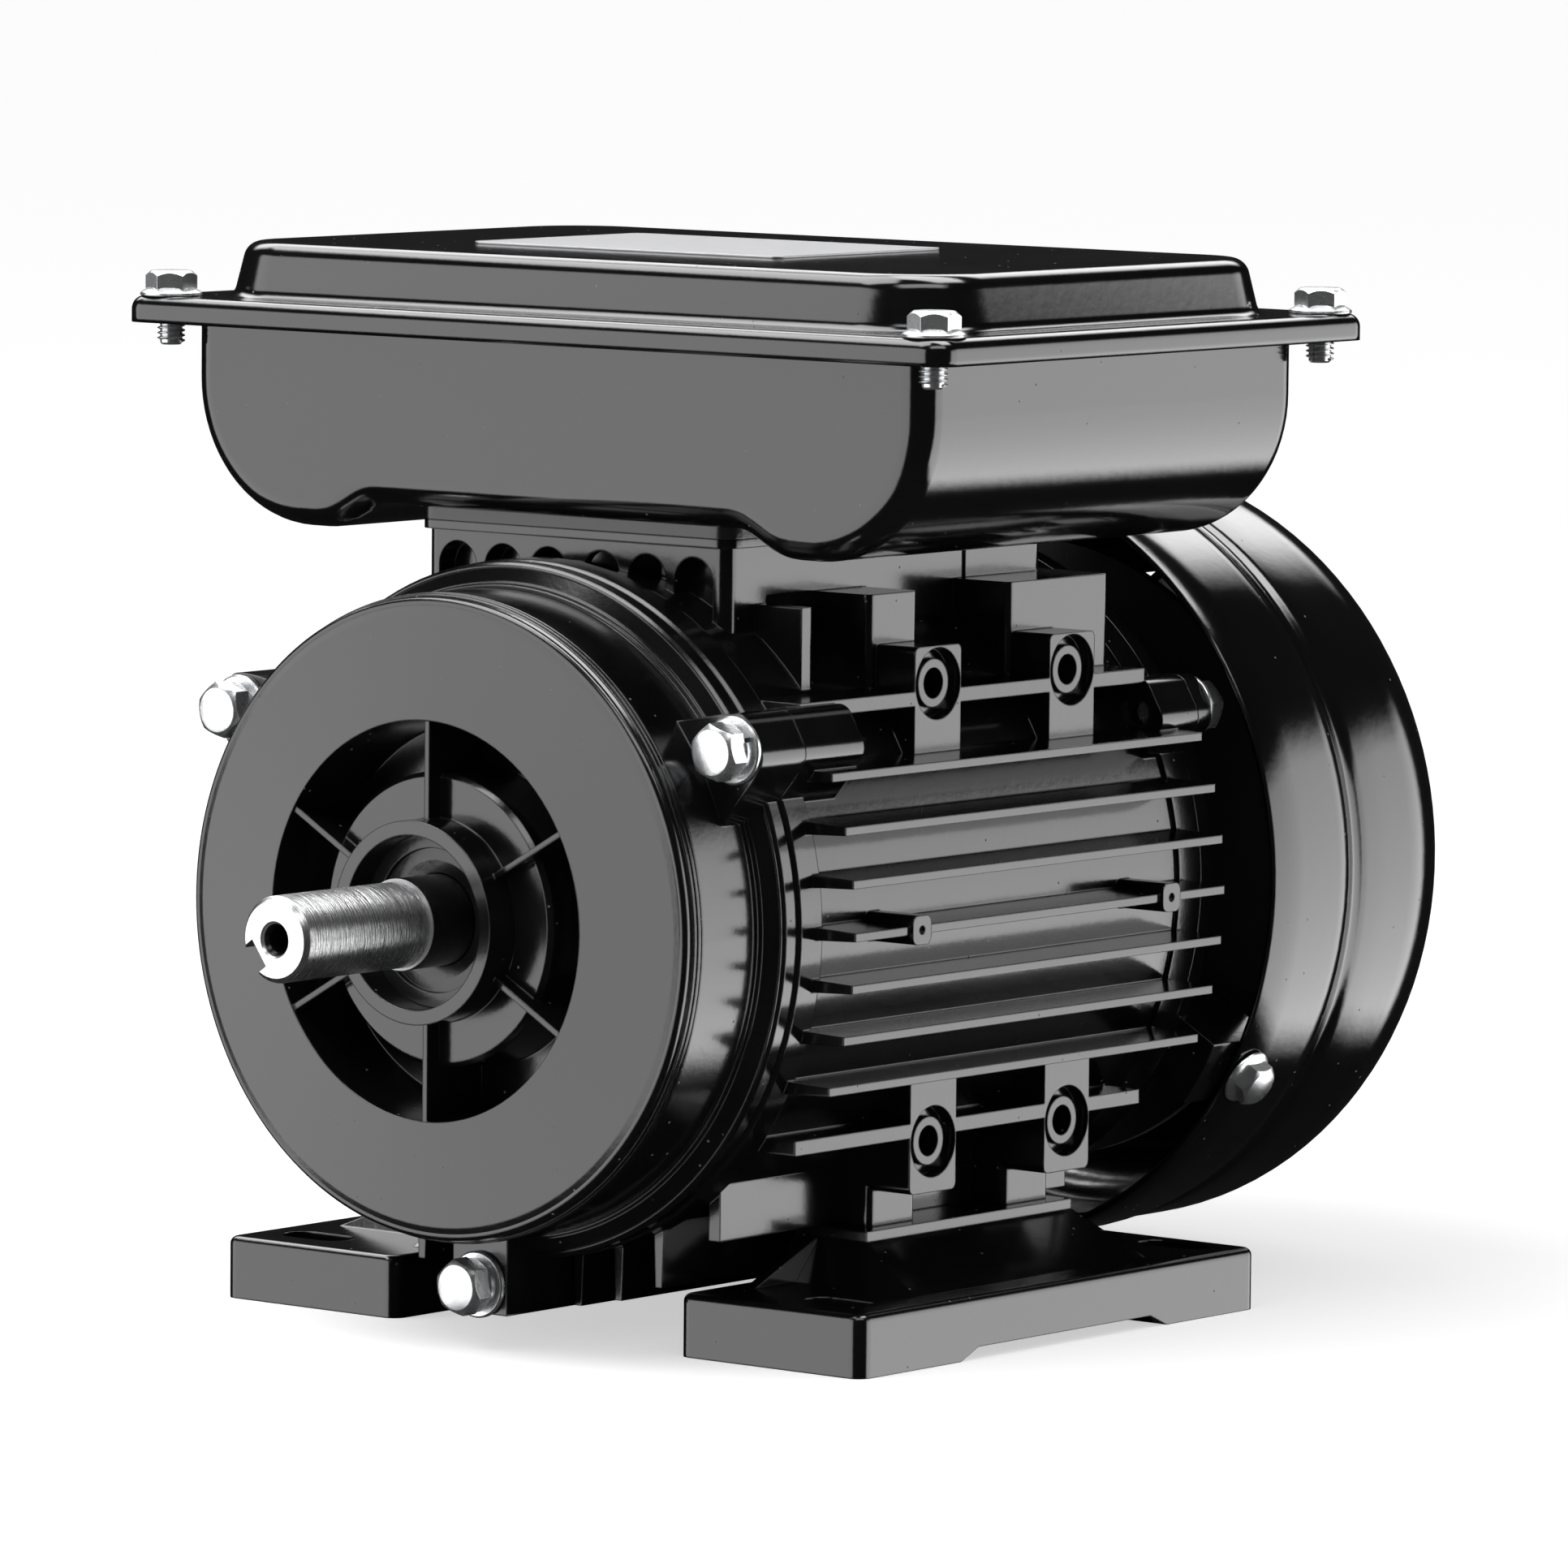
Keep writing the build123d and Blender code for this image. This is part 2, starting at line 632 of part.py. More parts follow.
def make_bosses():
    """Two small drilled bosses on the middle fin of the +X side."""
    bosses = []
    for y in (BOSS_FRONT_Y, BOSS_REAR_Y):
        boss = block(BARREL_RADIUS - 2, FIN_TIP_RADIUS + 0.6, y - BOSS_SIZE / 2, y + BOSS_SIZE / 2,
                     -BOSS_SIZE / 2, BOSS_SIZE / 2)
        boss = fillet(boss.edges().filter_by(Axis.X), 1.4)
        hole = Pos(FIN_TIP_RADIUS - 4, y, 0) * Rot(0, 90, 0) * Cylinder(BOSS_HOLE_DIA / 2, 12)
        bosses.append(boss - hole)
    return bosses


def make_pedestal():
    """Seat of the terminal box, with arched pockets in front, one recess on each side and a rib."""
    top = PEDESTAL_TOP - AXIS_HEIGHT
    half = PEDESTAL_HALF_WIDTH
    lip = PEDESTAL_OVERHANG
    body = block(-half, half, PEDESTAL_FRONT_Y, PEDESTAL_REAR_Y, 40.0, top)
    body = fillet(body.edges().filter_by(Axis.Z), PEDESTAL_CORNER_RADIUS)
    rim = block(-half - lip, half + lip, PEDESTAL_FRONT_Y - lip, PEDESTAL_REAR_Y + lip,
                top - PEDESTAL_LIP, top)
    rim = fillet(rim.edges().filter_by(Axis.Z), PEDESTAL_CORNER_RADIUS + lip)
    rib = block(half - 4.0, SIDE_RIB_REACH, SIDE_RIB_Y - SIDE_RIB_WIDTH / 2, SIDE_RIB_Y + SIDE_RIB_WIDTH / 2,
                34.0, SIDE_RIB_TOP)
    seat = body + rim + rib
    arch = Circle(FRONT_POCKET_WIDTH / 2) + Pos(0, -15) * Rectangle(FRONT_POCKET_WIDTH, 30)
    crown = top - PEDESTAL_LIP - FRONT_POCKET_DROP - FRONT_POCKET_WIDTH / 2
    band = top - PEDESTAL_LIP - SIDE_BAND
    for side in (-1, 1):
        for x in FRONT_POCKET_XS:
            seat -= bar(Pos(side * x, crown) * arch, PEDESTAL_FRONT_Y - 1, PEDESTAL_FRONT_Y + FRONT_POCKET_DEPTH)
        x0, x1 = sorted((side * (half + 0.5), side * (half - SIDE_POCKET_DEPTH)))
        seat -= block(x0, x1, SIDE_POCKET_FRONT_Y, SIDE_POCKET_REAR_Y, 36.0, band)
        x0, x1 = sorted((side * (half + 0.5), side * (half - 0.8)))
        seat -= block(x0, x1, SIDE_GROOVE_Y - SIDE_GROOVE_WIDTH / 2, SIDE_GROOVE_Y + SIDE_GROOVE_WIDTH / 2,
                      band, top - PEDESTAL_LIP)
    return seat


def make_housing():
    """Die-cast barrel with fins, lugs, foot pads on three sides and the box pedestal."""
    inner = HOUSING_BORE_DIA / 2
    barrel = turned(
        (inner - 2, HOUSING_FRONT_Y), (RIM_RADIUS - RIM_CHAMFER, HOUSING_FRONT_Y),
        (RIM_RADIUS, HOUSING_FRONT_Y + RIM_CHAMFER), (RIM_RADIUS, HOUSING_FRONT_Y + RIM_WIDTH),
        (BARREL_RADIUS, HOUSING_FRONT_Y + RIM_WIDTH), (BARREL_RADIUS, HOUSING_REAR_Y - RIM_WIDTH),
        (RIM_RADIUS - 0.4, HOUSING_REAR_Y - RIM_WIDTH), (RIM_RADIUS - 0.4, HOUSING_REAR_Y),
        (inner - 2, HOUSING_REAR_Y),
    )
    fins = make_side_fins()
    ledges = make_ledges()
    pads, pad_holes = make_side_pads(LOW_PAD_OUTER)
    foot_pads, foot_holes = make_side_pads(PAD_OUTER)
    right = fins + ledges + pads + make_bosses()
    left = [mirror(piece, about=Plane.YZ) for piece in right]
    below = [at_angle(piece, 270) for piece in fins + ledges + foot_pads]
    solids = [barrel] + right + left + below + make_upper_blocks()
    thread_dia = M5_DIA + 2 * THREAD_GAP
    front, front_holes = lugs(FRONT_BOLT_RADIUS, HOUSING_FRONT_Y, HOUSING_FRONT_Y + HOUSING_LUG_LENGTH,
                              thread_dia)
    rear, rear_holes = lugs(REAR_BOLT_RADIUS, HOUSING_REAR_Y - REAR_LUG_LENGTH, HOUSING_REAR_Y, thread_dia)
    solids += front + rear + [make_pedestal()]
    body = fuse(solids)
    cuts = [bar(Circle(inner), HOUSING_FRONT_Y - 1, HOUSING_REAR_Y + 1)]
    cuts += pad_holes + [mirror(hole, about=Plane.YZ) for hole in pad_holes]
    cuts += [at_angle(hole, 270) for hole in foot_holes]
    cuts += front_holes + rear_holes
    top = PEDESTAL_TOP - AXIS_HEIGHT
    cuts.append(block(-LEAD_PASSAGE_WIDTH / 2, LEAD_PASSAGE_WIDTH / 2,
                      LEAD_PASSAGE_Y - LEAD_PASSAGE_LENGTH / 2, LEAD_PASSAGE_Y + LEAD_PASSAGE_LENGTH / 2,
                      inner - 8, top + 1))
    for x, y in box_screw_places():
        cuts.append(Pos(x, y, 0) * rod_z(M5_DIA / 2 + THREAD_GAP, top - 12, top + 1))
    return lift(body.cut(*cuts))


# End shields

def make_front_shield():
    """Front end shield with a ribbed recess round the shaft hub."""
    wall = SHIELD_WALL
    bearing = BEARING_OD / 2
    spigot = HOUSING_BORE_DIA / 2 - SLIP
    inner_face = FRONT_BEARING_Y + BEARING_WIDTH + 0.5
    hub_face = FRONT_BEARING_Y - wall
    rib_edge = RECESS_FRONT_Y + RIB_DROP
    body = turned(
        (HUB_BORE_RADIUS, HUB_FRONT_Y), (HUB_RADIUS, HUB_FRONT_Y), (HUB_RADIUS, hub_face),
        (BEARING_HUB_RADIUS - BEARING_HUB_EDGE, hub_face),
        (BEARING_HUB_RADIUS, hub_face + BEARING_HUB_EDGE), (BEARING_HUB_RADIUS + 0.6, RECESS_FLOOR_Y),
        (RECESS_RADIUS - 1.2, RECESS_FLOOR_Y), (RECESS_RADIUS, RECESS_FRONT_Y),
        (FACE_RADIUS, FACE_OUTER_Y), (FACE_RADIUS + 1.2, FACE_OUTER_Y + 0.35),
        (FACE_RADIUS + 2.1, FACE_OUTER_Y + 1.2), (FACE_RADIUS + 2.6, FACE_OUTER_Y + 2.4),
        (NECK_RADIUS, FACE_OUTER_Y + 4.1), (NECK_RADIUS, NECK_REAR_Y),
        (NECK_RADIUS + 0.9, NECK_REAR_Y + 1.5), (FLANGE_RADIUS - 0.6, FLANGE_FRONT_Y - 0.3),
        (FLANGE_RADIUS, FLANGE_FRONT_Y + 0.3),
        (FLANGE_RADIUS, HOUSING_FRONT_Y - RIM_CHAMFER), (FLANGE_RADIUS - RIM_CHAMFER, HOUSING_FRONT_Y),
        (spigot, HOUSING_FRONT_Y), (spigot, HOUSING_FRONT_Y + SPIGOT_LENGTH),
        (spigot - SPIGOT_WALL, HOUSING_FRONT_Y + SPIGOT_LENGTH), (spigot - SPIGOT_WALL, NECK_REAR_Y),
        (NECK_RADIUS - wall, NECK_REAR_Y - 2), (NECK_RADIUS - wall - 0.6, FACE_OUTER_Y + 2 + wall),
        (RECESS_RADIUS + wall, RECESS_FRONT_Y + wall + 0.8), (RECESS_RADIUS + wall - 1, RECESS_FLOOR_Y + wall),
        (BEARING_HUB_RADIUS + 1.5, inner_face), (bearing, inner_face), (bearing, FRONT_BEARING_Y),
        (HUB_BORE_RADIUS, FRONT_BEARING_Y),
    )
    rib_front = turned((HUB_RADIUS - 1, rib_edge), (RECESS_RADIUS + 1, rib_edge),
                       (RECESS_RADIUS + 1, RECESS_FLOOR_Y + 1), (BEARING_HUB_RADIUS - 1, RECESS_FLOOR_Y + 1),
                       (BEARING_HUB_RADIUS - 2.4, FRONT_BEARING_Y), (HUB_RADIUS - 1, hub_face + 1))
    blade = block(0, RECESS_RADIUS + 2, HUB_FRONT_Y - 1, RECESS_FLOOR_Y + 2, -RIB_WIDTH / 2, RIB_WIDTH / 2)
    ribs = [rib_front & at_angle(blade, angle) for angle in even_angles(RIBS, 30.0)]
    bodies, holes = lugs(FRONT_BOLT_RADIUS, FRONT_LUG_Y, HOUSING_FRONT_Y, M5_DIA + 2 * HOLE_GAP)
    cavity = bar(Circle(spigot - SPIGOT_WALL), NECK_REAR_Y, HOUSING_FRONT_Y + 1)
    shield = body.fuse(*ribs).fuse(*[lug - cavity for lug in bodies])
    return lift(shield.cut(*holes))


def make_rear_shield():
    """Rear end shield, with ears that carry the fan cover."""
    bearing = BEARING_OD / 2
    spigot = HOUSING_BORE_DIA / 2 - SLIP
    flange_rear = HOUSING_REAR_Y + REAR_FLANGE_WIDTH
    pocket_rear = REAR_BEARING_Y + BEARING_WIDTH + WAVE_WASHER_SPACE
    board_seat = REAR_WEB_Y - SHIELD_WALL - 0.2
    body = turned(
        (bearing, REAR_BEARING_Y - 0.8), (bearing, pocket_rear), (FAN_SEAT_DIA / 2 + 2, pocket_rear),
        (FAN_SEAT_DIA / 2 + 2, REAR_HUB_END_Y), (BEARING_HUB_RADIUS - 1.5, REAR_HUB_END_Y),
        (BEARING_HUB_RADIUS, REAR_HUB_END_Y - 2), (BEARING_HUB_RADIUS + 0.8, REAR_WEB_Y + 1.0),
        (RIM_RADIUS - 11, REAR_WEB_Y), (RIM_RADIUS - 6, flange_rear), (RIM_RADIUS - 0.4, flange_rear),
        (RIM_RADIUS - 0.4, HOUSING_REAR_Y), (spigot, HOUSING_REAR_Y),
        (spigot, HOUSING_REAR_Y - SPIGOT_LENGTH), (spigot - SPIGOT_WALL, HOUSING_REAR_Y - SPIGOT_LENGTH),
        (spigot - SPIGOT_WALL, HOUSING_REAR_Y + 1), (RIM_RADIUS - 12, board_seat), (bearing + 2, board_seat),
    )
    ear_reach = COVER_RADIUS - COVER_WALL - SEAT_GAP
    ear = block(RIM_RADIUS - 6.5, ear_reach, HOUSING_REAR_Y + 1.2, COVER_SCREW_Y + 6,
                -COVER_EAR_WIDTH / 2, COVER_EAR_WIDTH / 2)
    ear -= block(RIM_RADIUS - 12, ear_reach - 5, REAR_WEB_Y + 1.5, COVER_SCREW_Y + 7,
                 -COVER_EAR_WIDTH / 2 + 3, COVER_EAR_WIDTH / 2 - 3)
    ear &= tube(ear_reach, RIM_RADIUS - 12, HOUSING_REAR_Y, COVER_SCREW_Y + 7)
    screw_hole = Pos(ear_reach, COVER_SCREW_Y, 0) * Rot(0, 90, 0) * Cylinder(M4_DIA / 2 + THREAD_GAP, 24)
    bodies, holes = lugs(REAR_BOLT_RADIUS, HOUSING_REAR_Y, flange_rear, M5_DIA + 2 * HOLE_GAP)
    cavity = bar(Circle(spigot - SPIGOT_WALL), HOUSING_REAR_Y - 1, HOUSING_REAR_Y + 1)
    shield = body.fuse(*around(ear, COVER_EAR_ANGLES)).fuse(*[lug - cavity for lug in bodies])
    return lift(shield.cut(*holes, *around(screw_hole, COVER_EAR_ANGLES)))


# Fasteners of the shields, in bolt order from the head to the lug

def bolt_set(radius, face_y, away, shank):
    """Hex bolts, split spring washers and flat washers on the lugs; away is -1 in front."""
    washer_y = face_y + away * M5_WASHER
    spring_y = washer_y + away * M5_SPRING
    head_y = spring_y + away * M5_HEAD
    hole = M5_DIA / 2 + HOLE_GAP

    def span(section, a, b):
        return bar(Pos(radius, 0) * section, min(a, b), max(a, b))

    head = span(Rot(0, 0, 30) * hexagon(M5_FLATS), spring_y, head_y)
    end = span(Circle(M5_DIA / 2), spring_y, face_y - away * shank)
    bolt = head + end
    spring = span(Circle(M5_SPRING_DIA / 2) - Circle(hole), washer_y, spring_y)
    gap_at = Pos(radius + hole + 1, (washer_y + spring_y) / 2, 0)
    spring -= gap_at * Rot(0, 20, 0) * Box(4, M5_SPRING + 1, 0.7)
    washer = span(Circle(M5_WASHER_DIA / 2) - Circle(hole), face_y, washer_y)
    return [[lift(piece) for piece in around(shape, BOLT_ANGLES)] for shape in (bolt, spring, washer)]


# Starting switch

def make_governor():
    """Disc on the shaft with two pairs of ears for the flyweights."""
    y1 = GOVERNOR_Y + GOVERNOR_WALL
    bore = SWITCH_SEAT_DIA / 2 + SLIP
    disc = tube(GOVERNOR_RADIUS, bore, GOVERNOR_Y, y1) + tube(bore + 2.5, bore, GOVERNOR_Y - 2, y1)
    half = WEIGHT_TONGUE / 2
    ears = []
    for side in (-1, 1):
        z0, z1 = sorted((side * (half + SEAT_GAP), side * (half + SEAT_GAP + 1.2)))
        ears.append(block(WEIGHT_PIVOT_RADIUS - 1.6, WEIGHT_PIVOT_RADIUS + 1.5, GOVERNOR_Y,
                          WEIGHT_PIVOT_Y + 1.7, z0, z1))
    pin = Pos(WEIGHT_PIVOT_RADIUS, WEIGHT_PIVOT_Y, 0) * Cylinder(WEIGHT_PIN_DIA / 2, 2 * half + 3)
    arm = fuse([ears[0], pin, ears[1]])
    return lift(disc.fuse(*around(arm, (0, 180))))


def make_weight(angle):
    """One flyweight: a tongue on the pin and a heavy arc outside the collar."""
    front = GOVERNOR_Y + GOVERNOR_WALL + 0.9
    arc = tube(WEIGHT_OUTER_RADIUS, WEIGHT_INNER_RADIUS, front, WEIGHT_REAR_Y)
    arc &= block(WEIGHT_INNER_RADIUS * 0.62, WEIGHT_OUTER_RADIUS + 1, front - 1, WEIGHT_REAR_Y + 1, -15.0, 15.0)
    tongue = block(WEIGHT_PIVOT_RADIUS - 0.9, WEIGHT_INNER_RADIUS + 2, front, WEIGHT_PIVOT_Y + 2,
                   -WEIGHT_TONGUE / 2, WEIGHT_TONGUE / 2)
    hole = Pos(WEIGHT_PIVOT_RADIUS, WEIGHT_PIVOT_Y, 0) * Cylinder(WEIGHT_PIN_DIA / 2 + 0.05, WEIGHT_TONGUE + 2)
    collar_room = tube(COLLAR_DIA / 2 + SEAT_GAP, 1.0, front - 1, WEIGHT_REAR_Y + 1)
    return lift(at_angle((arc + tongue) - hole - collar_room, angle))


def make_collar():
    bore = SWITCH_SEAT_DIA / 2 + 0.05
    outside = COLLAR_DIA / 2
    collar = turned(
        (bore, COLLAR_FRONT_Y), (bore + 2, COLLAR_FRONT_Y), (bore + 2, COLLAR_REAR_Y - 2),
        (outside, COLLAR_REAR_Y - 1.2), (outside, COLLAR_REAR_Y), (bore, COLLAR_REAR_Y),
    )
    return lift(collar)


def make_switch_board():
    """Fixed board of the switch, on the inner face of the rear shield."""
    y1 = REAR_WEB_Y - SHIELD_WALL - 0.2
    y0 = y1 - SWITCH_BOARD_WALL
    board = tube(SWITCH_BOARD_DIA / 2, SWITCH_BOARD_BORE_DIA / 2, y0, y1)
    trim = block(-SWITCH_BOARD_DIA, SWITCH_BOARD_DIA, y0 - 1, y1 + 1, -SWITCH_BOARD_DIA, -16.0)
    return lift(board - trim)


def make_switch_contacts():
    """Leaf spring that the collar presses on, and the fixed contact behind its tip."""
    board_y = REAR_WEB_Y - SHIELD_WALL - 0.2 - SWITCH_BOARD_WALL
    leaf_y = COLLAR_REAR_Y + SEAT_GAP
    leaf = block(-22.0, 24.0, leaf_y, leaf_y + 0.4, 10.6, 13.2)
    post = block(18.0, 24.0, leaf_y, board_y, 10.6, 17.0)
    pad = block(-24.0, -18.0, leaf_y + 0.6, board_y, 10.6, 17.0)
    return [lift(leaf + post), lift(pad)]


# Fan and fan cover

def make_fan():
    """Radial fan that works the same in both directions of turn."""
    y1 = FAN_FRONT_Y + FAN_HUB_LENGTH
    bore = FAN_SEAT_DIA / 2 + SLIP
    hub = tube(FAN_HUB_DIA / 2, bore, FAN_FRONT_Y, y1)
    disc = turned((bore + 1, FAN_FRONT_Y), (FAN_DISC_DIA / 2, FAN_FRONT_Y),
                  (FAN_DISC_DIA / 2, FAN_FRONT_Y + FAN_DISC_WALL), (bore + 1, FAN_FRONT_Y + FAN_DISC_WALL + 1.5))
    corners = [(FAN_HUB_DIA / 2 - 1, FAN_FRONT_Y + 0.4), (FAN_DIA / 2 - 4, FAN_FRONT_Y + 0.4),
               (FAN_DIA / 2, FAN_FRONT_Y + 5), (FAN_DIA / 2, y1), (FAN_DIA / 2 - 14, y1 + 1.5),
               (FAN_HUB_DIA / 2 - 1, y1 - 6)]
    blade_face = make_face(Polyline(*[(r, y, 0) for r, y in corners], close=True))
    blade = extrude(blade_face, amount=FAN_BLADE_WALL / 2, both=True)
    return lift(fuse([hub, disc] + around(blade, even_angles(FAN_BLADES, 12.0))))


def make_fan_clip():
    y0 = FAN_FRONT_Y + FAN_HUB_LENGTH + 2 * SLIP
    ring = tube(FAN_SEAT_DIA / 2 + 2.2, FAN_SEAT_DIA / 2 - 0.6 + SLIP, y0, y0 + CLIP_WALL)
    return lift(ring - block(0, 12, y0 - 1, y0 + 2, -2.0, 2.0))


def cover_profile(inset, front, rear):
    """Half outline of the fan cover as a wire of lines and a corner arc, pulled in by inset."""
    corner = COVER_CORNER_RADIUS - inset
    bulge = COVER_BULGE_RADIUS - inset
    corner_y = rear - corner
    start = Polyline(
        (0, front, 0), (COVER_RADIUS - inset, front, 0), (COVER_RADIUS + 0.3 - inset, COVER_VALLEY_Y - 7, 0),
        (COVER_VALLEY_RADIUS - inset, COVER_VALLEY_Y, 0), (bulge - 0.2, COVER_VALLEY_Y + 4, 0),
        (bulge, COVER_VALLEY_Y + 7, 0), (bulge, corner_y, 0),
    )
    turn = RadiusArc((bulge, corner_y, 0), (bulge - corner, rear, 0), -corner)
    back = Polyline((bulge - corner, rear, 0), (0, rear, 0), (0, front, 0))
    return make_face(start + turn + back)


def make_fan_cover():
    """Pressed cover over the fan, with an air grille in its rear face."""
    outer = revolve(cover_profile(0.0, COVER_FRONT_Y, COVER_REAR_Y), SPIN_AXIS)
    inner = revolve(cover_profile(COVER_WALL, COVER_FRONT_Y - 1, COVER_REAR_Y - COVER_WALL), SPIN_AXIS)
    shell = outer - inner
    gaps = Sketch()
    for k in range(GRILLE_RINGS):
        radius = GRILLE_INNER_RADIUS + k * GRILLE_PITCH
        gaps += Circle(radius + GRILLE_GAP) - Circle(radius)
    for angle in even_angles(GRILLE_SPOKES):
        gaps -= Rot(0, 0, angle) * (Pos(COVER_RADIUS / 2, 0) * Rectangle(COVER_RADIUS, SPOKE_WIDTH))
    shell -= bar(gaps, COVER_REAR_Y - 2 * COVER_WALL, COVER_REAR_Y + 1)
    hole = Pos(COVER_RADIUS, COVER_SCREW_Y, 0) * Rot(0, 90, 0) * Cylinder(M4_DIA / 2 + HOLE_GAP, 6)
    return lift(shell.cut(*around(hole, COVER_EAR_ANGLES)))


def make_cover_screws():
    """Screws with a hexagon and a washer face, driven towards the shaft."""
    seat = COVER_RADIUS + SEAT_GAP
    place = Pos(seat, COVER_SCREW_Y, 0) * Rot(0, 90, 0)
    shank = rod_z(M4_DIA / 2, -9.0, 0.5)
    collar = rod_z(M4_FLANGE_DIA / 2, 0.0, M4_FLANGE)
    head = hex_z(M4_FLATS, M4_FLANGE, M4_FLANGE + 2.6)
    screw = place * (shank + collar + head)
    return [lift(piece) for piece in around(screw, COVER_EAR_ANGLES)]


# Feet

def make_right_foot():
    """Foot bracket of the +X side: slab with two slots, ramp, saddle and gussets."""
    slab = block(FOOT_INNER_X, FOOT_OUTER_X, FOOT_FRONT_Y, FOOT_REAR_Y, 0, FOOT_SLAB)
    slab = fillet(slab.edges().filter_by(Axis.Z), FOOT_CORNER_RADIUS)
    slab = fillet(slab.faces().sort_by(Axis.Z)[-1].edges(), FOOT_EDGE_RADIUS)
    lower = Plane(origin=(0, 0, FOOT_SLAB - FOOT_EDGE_RADIUS)) * Pos((SADDLE_INNER_X + RAMP_FOOT_X + 1) / 2,
                                                      (RAMP_FRONT_Y + RAMP_REAR_Y) / 2)
    upper = Plane(origin=(0, 0, SADDLE_TOP - SADDLE_LIP)) * Pos((SADDLE_INNER_X + SADDLE_OUTER_X) / 2,
                                                              (SADDLE_FRONT_Y + SADDLE_REAR_Y) / 2)
    ramp = loft([lower * Rectangle(RAMP_FOOT_X + 1 - SADDLE_INNER_X, RAMP_REAR_Y - RAMP_FRONT_Y),
                 upper * Rectangle(SADDLE_OUTER_X - SADDLE_INNER_X, SADDLE_REAR_Y - SADDLE_FRONT_Y)])
    lip = block(SADDLE_INNER_X, SADDLE_OUTER_X, SADDLE_FRONT_Y, SADDLE_REAR_Y,
                SADDLE_TOP - SADDLE_LIP - 0.01, SADDLE_TOP)
    gussets = []
    for edge, away in ((SADDLE_FRONT_Y, -1), (SADDLE_REAR_Y, 1)):
        side = make_face(Polyline((0, edge - away, FOOT_SLAB - 1), (0, edge + away * (GUSSET_REACH + 6), FOOT_SLAB - 1),
                                  (0, edge + away * 1, SADDLE_TOP - 2), (0, edge - away, SADDLE_TOP - 2),
                                  close=True))
        gussets.append(Pos(PAD_OFFSET - 2, 0, 0) * extrude(side, amount=GUSSET_WIDTH / 2, both=True))
    foot = slab.fuse(ramp, lip, *gussets)
    relief = make_face(Polyline(
        (0, RELIEF_FRONT_Y - RELIEF_SLOPE, -0.01), (0, RELIEF_FRONT_Y, FOOT_RELIEF),
        (0, RELIEF_REAR_Y, FOOT_RELIEF), (0, RELIEF_REAR_Y + RELIEF_SLOPE, -0.01), close=True))
    foot -= Pos(FOOT_INNER_X - 5, 0, 0) * extrude(relief, amount=60, dir=(1, 0, 0))
    for y in (-FOOT_HOLE_SPACING_Y / 2, FOOT_HOLE_SPACING_Y / 2):
        slot = Pos(FOOT_HOLE_SPACING_X / 2, y, -1) * SlotOverall(FOOT_SLOT_LENGTH, FOOT_SLOT_WIDTH)
        foot -= extrude(slot, amount=FOOT_SLAB + 2)
    for y in PAD_YS:
        foot -= Pos(PAD_OFFSET, y, 0) * rod_z(M6_DIA / 2 + HOLE_GAP, -1, SADDLE_TOP + 1)
        foot -= Pos(PAD_OFFSET, y, 0) * rod_z(M6_WASHER_DIA / 2 + HOLE_GAP, -1, FOOT_POCKET_DEPTH)
    return foot


def foot_bolt_places():
    return [(side * PAD_OFFSET, y) for side in (-1, 1) for y in PAD_YS]


def make_foot_bolts():
    """Bolts that hold the feet to the downward pads, driven from below."""
    head_top = FOOT_POCKET_DEPTH - M6_WASHER
    bolt = hex_z(M6_FLATS, head_top - M6_HEAD, head_top)
    bolt += rod_z(PAD_HOLE_DIA / 2 - THREAD_GAP, head_top - 0.5, SADDLE_TOP + PAD_HOLE_DEPTH - 2)
    return [Pos(x, y, 0) * bolt for x, y in foot_bolt_places()]


def make_foot_washers():
    z1 = FOOT_POCKET_DEPTH
    washer = rod_z(M6_WASHER_DIA / 2, z1 - M6_WASHER, z1) - rod_z(M6_DIA / 2 + HOLE_GAP, 0, z1 + 1)
    return [Pos(x, y, 0) * washer for x, y in foot_bolt_places()]


# Terminal box

def box_section(inset, top):
    """Cross-section of the drawn box: a flat floor between two deep lobes."""
    half = BOX_HALF_WIDTH - inset
    low = BOX_FLOOR - LOBE_DROP + inset
    floor = BOX_FLOOR + inset
    corners = [(-half, top), (-half, low), (-LOBE_INNER_X + inset / 2, low), (-LOBE_TOE_X + inset / 2, floor),
               (LOBE_TOE_X - inset / 2, floor), (LOBE_INNER_X - inset / 2, low), (half, low), (half, top)]
    face = make_face(Polyline(*corners, close=True))
    for index, radius in ((1, LOBE_RADIUS - inset), (2, LOBE_BEND), (3, TOE_BEND)):
        x, z = corners[index]
        ends = [v for v in face.vertices() if abs(abs(v.X) - abs(x)) < 0.01 and abs(v.Y - z) < 0.01]
        face = fillet(ends, radius)
    return face


def box_solid(inset, top):
    """Solid of the box outline, rounded along the front and rear faces."""
    section = box_section(inset, top)
    y0 = BOX_FRONT_Y + inset
    y1 = BOX_REAR_Y - inset
    solid = bar(section, y0, y1)
    ends = [e for e in solid.edges().group_by(Axis.Y)[0] + solid.edges().group_by(Axis.Y)[-1]
            if e.center().Z < top - 0.01]
    return fillet(ends, BOX_CORNER_RADIUS - inset)


def frame_plate(half_x, half_y, corner, z0, z1):
    """Rounded rectangular plate centred on the box."""
    return extrude(Pos(0, LID_CENTRE_Y, z0) * RectangleRounded(2 * half_x, 2 * half_y, corner), amount=z1 - z0)


def lid_bolt_places():
    return [(sx * LID_BOLT_X, LID_CENTRE_Y + sy * LID_BOLT_HALF_Y) for sx in (-1, 1) for sy in (-1, 1)]


def box_screw_places():
    return [(side * BOX_SCREW_X, y) for side in (-1, 1) for y in (BOX_SCREW_FRONT_Y, BOX_SCREW_REAR_Y)]


